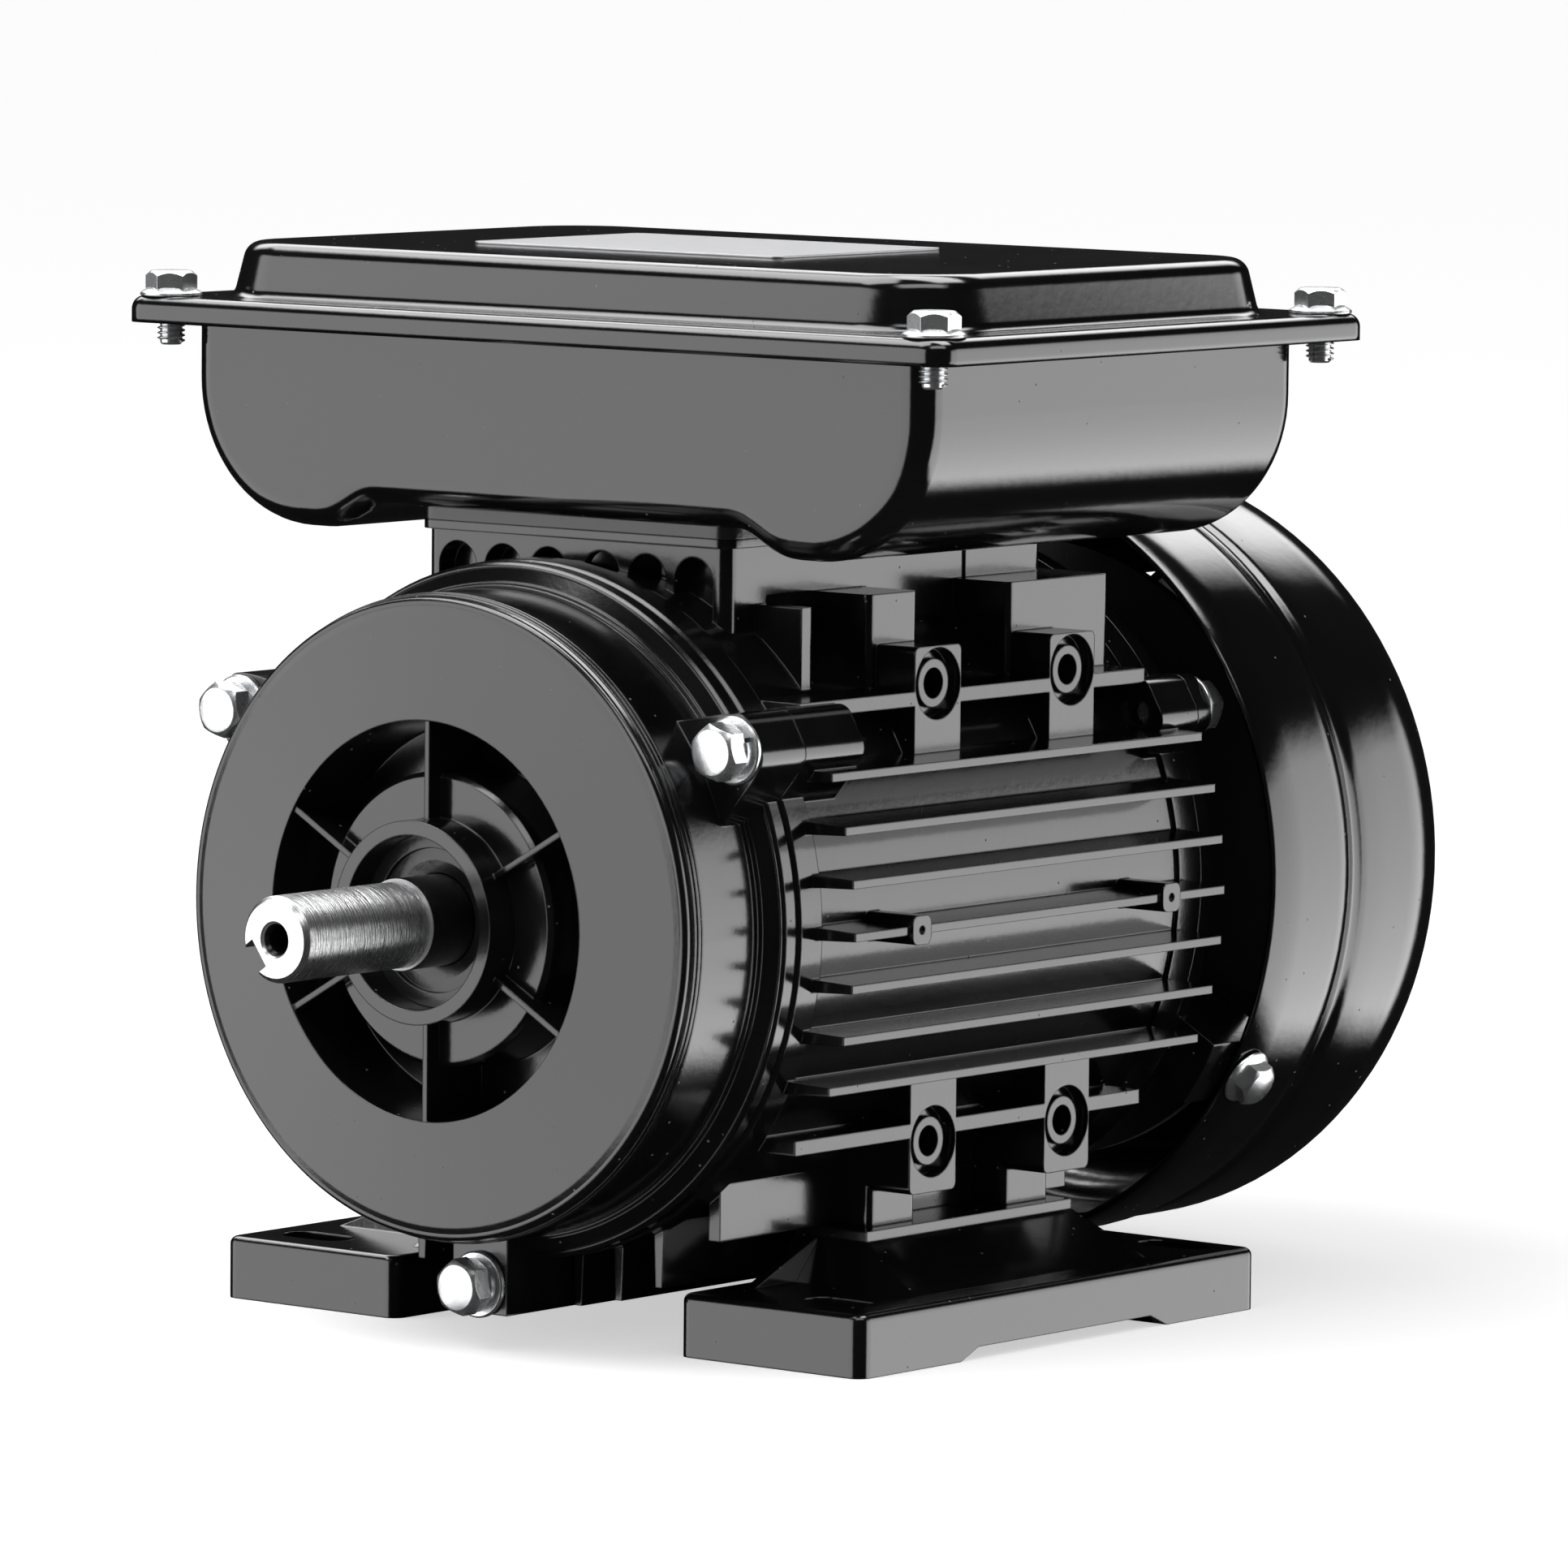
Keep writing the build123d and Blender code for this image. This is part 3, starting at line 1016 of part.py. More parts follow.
def make_terminal_box():
    """Drawn sheet box with an outward flange, holes in its floor and the gland hole."""
    outer = box_solid(0.0, BOX_FLANGE_TOP)
    edge = SHEET + SEAT_GAP
    flange = frame_plate(LID_HALF_X - edge, LID_HALF_Y - edge, LID_CORNER_RADIUS - SHEET,
                         BOX_FLANGE_TOP - SHEET, BOX_FLANGE_TOP)
    inner = box_solid(SHEET, BOX_FLANGE_TOP + 1)
    box = (outer + flange) - inner
    cuts = [block(-LEAD_PASSAGE_WIDTH / 2, LEAD_PASSAGE_WIDTH / 2, LEAD_PASSAGE_Y - LEAD_PASSAGE_LENGTH / 2,
                  LEAD_PASSAGE_Y + LEAD_PASSAGE_LENGTH / 2, BOX_FLOOR - 1, BOX_FLOOR + SHEET + 1)]
    for x, y in box_screw_places():
        cuts.append(Pos(x, y, 0) * rod_z(M5_DIA / 2 + HOLE_GAP, BOX_FLOOR - 1, BOX_FLOOR + SHEET + 1))
    for x, y in lid_bolt_places():
        cuts.append(Pos(x, y, 0) * rod_z(M4_DIA / 2 + THREAD_GAP, BOX_FLANGE_TOP - 3, BOX_FLANGE_TOP + 1))
    gland = extrude(across(BOX_REAR_Y + 1, GLAND_Z) * Circle(GLAND_THREAD_DIA / 2 + THREAD_GAP), amount=3 + SHEET)
    return box.cut(*cuts, gland)


def make_box_gasket():
    half = PEDESTAL_HALF_WIDTH + PEDESTAL_OVERHANG
    y0 = PEDESTAL_FRONT_Y - PEDESTAL_OVERHANG
    y1 = PEDESTAL_REAR_Y + PEDESTAL_OVERHANG
    pad = block(-half, half, y0, y1, PEDESTAL_TOP, BOX_FLOOR)
    pad = fillet(pad.edges().filter_by(Axis.Z), PEDESTAL_CORNER_RADIUS + PEDESTAL_OVERHANG)
    pad -= block(-LEAD_PASSAGE_WIDTH / 2, LEAD_PASSAGE_WIDTH / 2, LEAD_PASSAGE_Y - LEAD_PASSAGE_LENGTH / 2,
                 LEAD_PASSAGE_Y + LEAD_PASSAGE_LENGTH / 2, PEDESTAL_TOP - 1, BOX_FLOOR + 1)
    for x, y in box_screw_places():
        pad -= Pos(x, y, 0) * rod_z(M5_DIA / 2 + HOLE_GAP, PEDESTAL_TOP - 1, BOX_FLOOR + 1)
    return pad


def dome(inset, z0, z1):
    """Raised middle of the lid with sloping sides."""
    half_x = LID_BOLT_X - DOME_INSET - inset
    half_y = LID_BOLT_HALF_Y - DOME_INSET - inset
    base = Pos(0, LID_CENTRE_Y, z0) * RectangleRounded(2 * half_x, 2 * half_y, DOME_CORNER_RADIUS - inset)
    solid = extrude(base, amount=z1 - z0, taper=DOME_TAPER)
    return fillet(solid.faces().sort_by(Axis.Z)[-1].edges(), DOME_EDGE_RADIUS - inset)


def make_lid():
    """Pressed lid with a raised middle and a turned-down skirt."""
    skirt_z = LID_FLANGE_Z - LID_SKIRT
    plate = frame_plate(LID_HALF_X, LID_HALF_Y, LID_CORNER_RADIUS, skirt_z, LID_FLANGE_Z)
    plate = fillet(plate.faces().sort_by(Axis.Z)[-1].edges(), LID_EDGE_RADIUS)
    outer = plate + dome(0.0, LID_FLANGE_Z - 0.5, LID_TOP_Z)
    room = frame_plate(LID_HALF_X - SHEET, LID_HALF_Y - SHEET, LID_CORNER_RADIUS - SHEET,
                       skirt_z - 1, LID_FLANGE_Z - SHEET)
    lid = outer - room - dome(SHEET, LID_FLANGE_Z - SHEET - 0.5, LID_TOP_Z - SHEET)
    for x, y in lid_bolt_places():
        lid -= Pos(x, y, 0) * rod_z(M4_DIA / 2 + HOLE_GAP, skirt_z - 1, LID_FLANGE_Z + 1)
    return lid


def make_lid_gasket():
    edge = SHEET + 1.2
    ring = frame_plate(LID_HALF_X - edge, LID_HALF_Y - edge, LID_CORNER_RADIUS - SHEET,
                       BOX_FLANGE_TOP, BOX_FLANGE_TOP + LID_GASKET)
    half_y = (BOX_REAR_Y - BOX_FRONT_Y) / 2
    ring -= frame_plate(BOX_HALF_WIDTH - SHEET - 1, half_y - SHEET - 1, BOX_CORNER_RADIUS,
                        BOX_FLANGE_TOP - 1, BOX_FLANGE_TOP + LID_GASKET + 1)
    for x, y in lid_bolt_places():
        ring -= Pos(x, y, 0) * rod_z(M4_DIA / 2 + HOLE_GAP, BOX_FLANGE_TOP - 1, BOX_FLANGE_TOP + LID_GASKET + 1)
    return ring


def make_lid_bolts():
    """Flanged hex bolts whose threaded ends show below the skirt of the lid."""
    top = LID_FLANGE_Z
    bolt = rod_z(M4_DIA / 2, top - LID_BOLT_LENGTH, top + 0.5)
    bolt += rod_z(M4_FLANGE_DIA / 2, top, top + M4_FLANGE)
    bolt += hex_z(M4_FLATS, top + M4_FLANGE, top + M4_FLANGE + M4_HEAD)
    return [Pos(x, y, 0) * bolt for x, y in lid_bolt_places()]


def make_plate():
    plate = Pos(PLATE_X, PLATE_Y, LID_TOP_Z + PLATE_WALL / 2) * Box(PLATE_LENGTH, PLATE_WIDTH, PLATE_WALL)
    return fillet(plate.edges().filter_by(Axis.Z), 2.0)


# Inside the terminal box

def make_capacitor(side, length):
    """Round can lying in one lobe of the box, with two tab terminals at its rear end."""
    radius = CAPACITOR_DIA / 2
    z = BOX_FLOOR - LOBE_DROP + SHEET + SEAT_GAP + CLAMP_WALL + radius
    y0 = BOX_FRONT_Y + SHEET + 5.0
    can = Cylinder(radius, length)
    can = chamfer(can.edges(), 1.2)
    can = Pos(0, y0 + length / 2, 0) * (Rot(90, 0, 0) * can)
    tabs = [block(x - 3.0, x + 3.0, y0 + length - 1, y0 + length + CAPACITOR_TERMINAL, -0.5, 0.5)
            for x in (-7.0, 7.0)]
    return Pos(side * CAPACITOR_X, 0, z) * fuse([can] + tabs)


def make_capacitor_clamps():
    """Band round each can, with a tab on the floor of the box."""
    radius = CAPACITOR_DIA / 2 + SLIP
    z = BOX_FLOOR - LOBE_DROP + SHEET + SEAT_GAP + CLAMP_WALL + CAPACITOR_DIA / 2
    clamps = []
    y = BOX_FRONT_Y + SHEET + 5.0 + START_CAPACITOR_LENGTH / 2
    floor = BOX_FLOOR + SHEET
    for side in (-1, 1):
        band = Circle(radius + CLAMP_WALL) - Circle(radius)
        band = Pos(side * CAPACITOR_X, z) * band
        edge = CAPACITOR_X - radius - CLAMP_WALL
        strip = Pos(side * (edge + CLAMP_WALL / 2), (floor + z) / 2) * Rectangle(CLAMP_WALL, z - floor)
        tab = Pos(side * (edge - 4.0), floor + CLAMP_WALL / 2) * Rectangle(9.0, CLAMP_WALL)
        clamps.append(bar(band + strip + tab, y - CLAMP_WIDTH / 2, y + CLAMP_WIDTH / 2))
    return clamps


def stud_places():
    return [(k * STUD_PITCH_X, BLOCK_Y + row * STUD_PITCH_Y / 2) for row in (-1, 1) for k in (-1, 0, 1)]


def make_terminal_block():
    """Moulded base with raised walls between the terminals."""
    z0 = BOX_FLOOR + SHEET
    z1 = z0 + BLOCK_HEIGHT
    y0 = BLOCK_Y - BLOCK_WIDTH / 2
    y1 = BLOCK_Y + BLOCK_WIDTH / 2
    base = block(-BLOCK_LENGTH / 2, BLOCK_LENGTH / 2, y0, y1, z0, z1)
    for k in (-1, 1):
        x = k * STUD_PITCH_X / 2
        base += block(x - 0.9, x + 0.9, y0, y1, z1 - 1, z1 + 4.0)
    for x, y in stud_places():
        base -= Pos(x, y, 0) * rod_z(M4_DIA / 2 + THREAD_GAP, z0 + 2, z1 + 1)
    return base


def make_terminal_studs():
    z0 = BOX_FLOOR + SHEET + 2.2
    stud = rod_z(M4_DIA / 2, z0, BOX_FLOOR + SHEET + BLOCK_HEIGHT + STUD_LENGTH)
    return [Pos(x, y, 0) * stud for x, y in stud_places()]


def make_terminal_links():
    """Flat bars that join each front stud to the one behind it."""
    z0 = BOX_FLOOR + SHEET + BLOCK_HEIGHT
    links = []
    for k in (-1, 1):
        x = k * STUD_PITCH_X
        link = Pos(x, BLOCK_Y, z0) * SlotOverall(STUD_PITCH_Y + LINK_WIDTH, LINK_WIDTH, rotation=90)
        bar_link = extrude(link, amount=LINK_WALL)
        for row in (-1, 1):
            hole = rod_z(M4_DIA / 2 + THREAD_GAP, z0 - 1, z0 + LINK_WALL + 1)
            bar_link -= Pos(x, BLOCK_Y + row * STUD_PITCH_Y / 2, 0) * hole
        links.append(bar_link)
    return links


def make_terminal_nuts():
    z0 = BOX_FLOOR + SHEET + BLOCK_HEIGHT
    nuts = []
    for x, y in stud_places():
        base = z0 + LINK_WALL if x else z0
        nut = hex_z(M4_FLATS, base, base + M4_NUT) - rod_z(M4_DIA / 2 + THREAD_GAP, base - 1, base + M4_NUT + 1)
        nuts.append(Pos(x, y, 0) * nut)
    return nuts


def make_box_screws():
    """Screws that hold the box down on the pedestal."""
    seat = BOX_FLOOR + SHEET
    screw = rod_z(M5_DIA / 2, seat - 12.0, seat + 0.5) + rod_z(M5_DIA * 0.9, seat, seat + 3.2)
    return [Pos(x, y, 0) * screw for x, y in box_screw_places()]


def make_earth_screw():
    seat = BOX_FLOOR + SHEET
    screw = rod_z(M4_DIA * 0.9, seat + 1.0, seat + 3.4) + rod_z(M4_FLANGE_DIA / 2, seat, seat + 1.1)
    return Pos(EARTH_X, EARTH_Y, 0) * screw


# Cable gland

def gland_bar(section, y0, y1):
    """Section carried along Y at the height of the gland."""
    return extrude(across(y0, GLAND_Z) * section, amount=y1 - y0, dir=(0, 1, 0))


def make_gland_body():
    wall = BOX_REAR_Y
    bore = Circle(GLAND_BORE_DIA / 2 + 2.0)
    hex_part = gland_bar(hexagon(GLAND_FLATS) - bore, wall, wall + GLAND_HEX)
    thread = gland_bar(Circle(GLAND_THREAD_DIA / 2) - bore, wall - SHEET - GLAND_LOCKNUT - 1.5, wall + 0.5)
    barrel = gland_bar(Circle(GLAND_THREAD_DIA / 2) - bore, wall + GLAND_HEX - 0.5, wall + GLAND_HEX + GLAND_BARREL)
    return hex_part + thread + barrel


def make_gland_locknut():
    wall = BOX_REAR_Y - SHEET
    ring = hexagon(GLAND_FLATS) - Circle(GLAND_THREAD_DIA / 2 + THREAD_GAP)
    return gland_bar(ring, wall - GLAND_LOCKNUT, wall)


def make_gland_cap():
    start = BOX_REAR_Y + GLAND_HEX + SEAT_GAP
    end = start + GLAND_CAP_LENGTH
    cap = gland_bar(hexagon(GLAND_FLATS), start, end)
    cap -= gland_bar(Circle(GLAND_THREAD_DIA / 2 + THREAD_GAP), start - 1, end - 2.5)
    return cap - gland_bar(Circle(GLAND_BORE_DIA / 2 + 0.8), end - 4, end + 1)


def make_gland_seal():
    start = BOX_REAR_Y + GLAND_HEX
    ring = Circle(GLAND_BORE_DIA / 2 + 2.0 - SLIP) - Circle(GLAND_BORE_DIA / 2)
    return gland_bar(ring, start + 1, start + GLAND_BARREL)


# Write one file for each node

def write(name, shape):
    """Write one node; a list becomes a group of separate solids."""
    if isinstance(shape, list):
        shape = Compound(children=shape)
    export_step(shape, "parts/" + name + ".step")


def main():
    os.makedirs("parts", exist_ok=True)
    right_foot = make_right_foot()
    front_bolts = bolt_set(FRONT_BOLT_RADIUS, FRONT_LUG_Y, -1, FRONT_LUG_LENGTH + M5_GRIP)
    rear_bolts = bolt_set(REAR_BOLT_RADIUS, HOUSING_REAR_Y + REAR_FLANGE_WIDTH, 1,
                          REAR_FLANGE_WIDTH + REAR_LUG_LENGTH - 2.0)
    front_bearing = make_bearing(FRONT_BEARING_Y)
    rear_bearing = make_bearing(REAR_BEARING_Y)
    nodes = {
        "stator_housing": make_housing(),
        "front_end_shield": make_front_shield(),
        "rear_end_shield": make_rear_shield(),
        "stator_core": make_stator_core(),
        "stator_windings": make_windings(),
        "front_shield_bolts": front_bolts[0],
        "front_spring_washers": front_bolts[1],
        "front_washers": front_bolts[2],
        "rear_shield_bolts": rear_bolts[0],
        "rear_spring_washers": rear_bolts[1],
        "rear_washers": rear_bolts[2],
        "right_foot": right_foot,
        "left_foot": mirror(right_foot, about=Plane.YZ),
        "foot_bolts": make_foot_bolts(),
        "foot_washers": make_foot_washers(),
        "terminal_box": make_terminal_box(),
        "box_gasket": make_box_gasket(),
        "terminal_box_lid": make_lid(),
        "lid_gasket": make_lid_gasket(),
        "lid_bolts": make_lid_bolts(),
        "rating_plate": make_plate(),
        "run_capacitor": make_capacitor(-1, RUN_CAPACITOR_LENGTH),
        "start_capacitor": make_capacitor(1, START_CAPACITOR_LENGTH),
        "capacitor_clamps": make_capacitor_clamps(),
        "terminal_block": make_terminal_block(),
        "terminal_studs": make_terminal_studs(),
        "terminal_links": make_terminal_links(),
        "terminal_nuts": make_terminal_nuts(),
        "box_screws": make_box_screws(),
        "earth_screw": make_earth_screw(),
        "gland_body": make_gland_body(),
        "gland_locknut": make_gland_locknut(),
        "gland_cap": make_gland_cap(),
        "gland_seal": make_gland_seal(),
        "fan_cover": make_fan_cover(),
        "fan_cover_screws": make_cover_screws(),
        "front_bearing_outer_ring": front_bearing[0],
        "front_bearing_inner_ring": front_bearing[1],
        "front_bearing_balls": front_bearing[2],
        "front_bearing_cage": front_bearing[3],
        "rear_bearing_outer_ring": rear_bearing[0],
        "rear_bearing_inner_ring": rear_bearing[1],
        "rear_bearing_balls": rear_bearing[2],
        "rear_bearing_cage": rear_bearing[3],
        "wave_washer": make_wave_washer(),
        "shaft_seal": make_shaft_seal(),
        "switch_board": make_switch_board(),
        "switch_contacts": make_switch_contacts(),
        "shaft": make_shaft(),
        "rotor_core": make_rotor_core(),
        "rotor_cage": make_rotor_cage(),
        "cooling_fan": make_fan(),
        "fan_clip": make_fan_clip(),
        "governor": make_governor(),
        "upper_flyweight": make_weight(90.0),
        "lower_flyweight": make_weight(270.0),
        "switch_collar": make_collar(),
    }
    for name, shape in nodes.items():
        write(name, shape)


main()
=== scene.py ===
import logging
import math
from collections.abc import Callable
from dataclasses import dataclass, field
from enum import Enum

import bmesh
import bpy
from mathutils import Matrix, Vector


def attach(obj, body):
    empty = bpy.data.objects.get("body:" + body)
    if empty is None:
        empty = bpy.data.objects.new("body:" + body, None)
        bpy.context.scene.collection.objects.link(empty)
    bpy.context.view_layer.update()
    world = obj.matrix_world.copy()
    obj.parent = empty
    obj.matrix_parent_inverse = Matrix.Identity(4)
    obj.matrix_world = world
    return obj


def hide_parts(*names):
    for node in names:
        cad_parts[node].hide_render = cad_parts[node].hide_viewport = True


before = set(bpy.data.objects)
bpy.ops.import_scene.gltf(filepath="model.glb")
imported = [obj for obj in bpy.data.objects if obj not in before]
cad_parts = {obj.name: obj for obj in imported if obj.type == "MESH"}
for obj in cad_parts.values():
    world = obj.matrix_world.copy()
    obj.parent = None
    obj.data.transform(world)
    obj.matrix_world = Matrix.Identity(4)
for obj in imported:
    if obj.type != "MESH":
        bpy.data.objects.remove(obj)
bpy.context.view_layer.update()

LOG = logging.getLogger("motor")
MM = 0.001

# Places that the pieces share with the solids, in millimetres and degrees
AXIS_HEIGHT = 71.0
TIE_ANGLES = (30.0, 150.0, 270.0)
FRONT_TIE_RADIUS = 60.6
REAR_TIE_RADIUS = 58.0
FRONT_LUG_Y = -69.0
FRONT_TIE_Y = -71.3
REAR_LUG_Y = 53.6
REAR_TIE_Y = 55.9
COVER_SCREW_ANGLES = (-30.0, 90.0, 210.0)
SHOULDER_Y = -90.0
CENTRE_HOLE_RADIUS = 2.9
# Radius and height round a washer's section, in millimetres
WASHER_SECTION = [(2.7, 0.0), (5.35, 0.0), (5.5, 0.2), (5.5, 0.75), (5.2, 1.0), (2.7, 1.0), (2.7, 0.0)]
# Dust on the enamel, and the black on the shaft behind its shoulder, which also paints shade into its centre hole
DUST_SCALE = 230.0
DUST_SIZE = 0.06
DUST_ROUGHNESS = 0.8
SHAFT_BLACK_AND_HOLE_SHADE = (0.006, 0.006, 0.006)
SHAFT_BLACK_AND_HOLE_SHADE_ROUGHNESS = 0.16
# Depth of the finishes' relief in metres, and samples of their rounded edges
RELIEF_DEPTH = 0.0003
EDGE_SAMPLES = 6
# Radius, depth and thickness of the ridges and of the rounded rim
NECK_RIDGES = ((51.3, -79.85, 1.0), (52.4, -78.8, 0.28), (52.62, -78.1, 0.28), (52.7, -77.3, 0.25),
               (53.2, -63.9, 0.28), (53.65, -63.2, 0.28), (56.2, -61.6, 0.28))


class Value:
    """A shader socket that can be used in plain sums."""

    def __init__(self, graph: "Graph", socket: bpy.types.NodeSocket) -> None:
        """Keep the graph and the output socket."""
        self.graph = graph
        self.socket = socket

    def _math(self, operation: str, *terms: "Value | float") -> "Value":
        """One Math node on this value and the given terms."""
        return self.graph.node("ShaderNodeMath", {"operation": operation}, dict(enumerate(terms)))

    def __add__(self, other: "Value | float") -> "Value":
        """Sum."""
        return self._math("ADD", self, other)

    __radd__ = __add__

    def __sub__(self, other: "Value | float") -> "Value":
        """Difference."""
        return self._math("SUBTRACT", self, other)

    def __rsub__(self, other: float) -> "Value":
        """Difference from a number."""
        return self._math("SUBTRACT", other, self)

    def __mul__(self, other: "Value | float") -> "Value":
        """Product."""
        return self._math("MULTIPLY", self, other)

    __rmul__ = __mul__

    def __truediv__(self, other: "Value | float") -> "Value":
        """Quotient."""
        return self._math("DIVIDE", self, other)

    def __rtruediv__(self, other: float) -> "Value":
        """A number divided by this value."""
        return self._math("DIVIDE", other, self)

    def __pow__(self, other: float) -> "Value":
        """Power."""
        return self._math("POWER", self, other)

    def sine(self) -> "Value":
        """Sine of the value."""
        return self._math("SINE", self)

    def step(self, low: float, high: float) -> "Value":
        """Smooth step from 0 below low to 1 above high.

        Args:
            low: value where the step starts.
            high: value where the step ends.

        Returns:
            The stepped value.
        """
        settings = {"interpolation_type": "SMOOTHSTEP"}
        return self.graph.node("ShaderNodeMapRange", settings, {"Value": self, "From Min": low, "From Max": high})


class Graph:
    """Node tree of one material or world."""

    def __init__(self, tree: bpy.types.NodeTree) -> None:
        """Start from an empty tree."""
        self.tree = tree
        tree.nodes.clear()

    def node(self, kind: str, settings: dict | None = None, sockets: dict | None = None,
             output: int | str = 0) -> Value:
        """Add one node.

        Args:
            kind: type name of the node.
            settings: properties set before the sockets.
            sockets: socket name or index with a number, colour, vector or Value.
            output: which output the returned Value stands for.

        Returns:
            The chosen output as a Value.
        """
        made = self.tree.nodes.new(kind)
        for key, setting in (settings or {}).items():
            if key == "stops":
                self._stops(made.color_ramp, setting)
            else:
                setattr(made, key, setting)
        for key, given in (sockets or {}).items():
            if isinstance(given, Value):
                self.tree.links.new(given.socket, made.inputs[key])
            else:
                made.inputs[key].default_value = given
        return Value(self, made.outputs[output]) if made.outputs else Value(self, None)

    def _stops(self, ramp: bpy.types.ColorRamp, stops: list[tuple[float, tuple]]) -> None:
        """Set the stops of a colour ramp."""
        while len(ramp.elements) < len(stops):
            ramp.elements.new(0.5)
        for element, (place, colour) in zip(ramp.elements, stops):
            element.position = place
            element.color = (*colour, 1.0)

    def position(self, scale: tuple[float, float, float] = (1.0, 1.0, 1.0)) -> Value:
        """Object coordinates in metres, stretched by scale."""
        place = self.node("ShaderNodeTexCoord", output="Object")
        return self.node("ShaderNodeMapping", {}, {"Vector": place, "Scale": scale})

    def noise(self, place: Value, scale: float, detail: float = 3.0, roughness: float = 0.55) -> Value:
        """Smooth noise from 0 to 1."""
        return self.node("ShaderNodeTexNoise", {},
                         {"Vector": place, "Scale": scale, "Detail": detail, "Roughness": roughness})

    def specks(self, place: Value, scale: float, size: float) -> Value:
        """Small round dots, 1 inside a dot and 0 outside."""
        cells = self.node("ShaderNodeTexVoronoi", {}, {"Vector": place, "Scale": scale}, "Distance")
        return 1.0 - cells.step(size * 0.5, size)

    def blend(self, share: "Value | float", first: "Value | tuple", second: "Value | tuple") -> Value:
        """Mix of two colours."""
        made = self.tree.nodes.new("ShaderNodeMix")
        made.data_type = "RGBA"
        for index, given in ((0, share), (6, first), (7, second)):
            if isinstance(given, Value):
                self.tree.links.new(given.socket, made.inputs[index])
            else:
                made.inputs[index].default_value = given
        return Value(self, made.outputs[2])


class Grain(Enum):
    """Surface patterns that the finishes choose from."""

    SPRAYED = "enamel sprayed on smooth sheet"
    # The ground shaft is black behind its shoulder and has painted shade in its centre hole
    GROUND = "ground rings, with enamel behind the shoulder and a dark centre hole"
    CAST = "enamel over the skin of a casting"
    TURNED = "fine rings left by a lathe"
    ROLLED = "straight lines of a rolled sheet"
    PLATED = "bright plating"
    STACKED = "edges of thin sheets"
    WOUND = "wires lying side by side"
    MOULDED = "moulded skin"


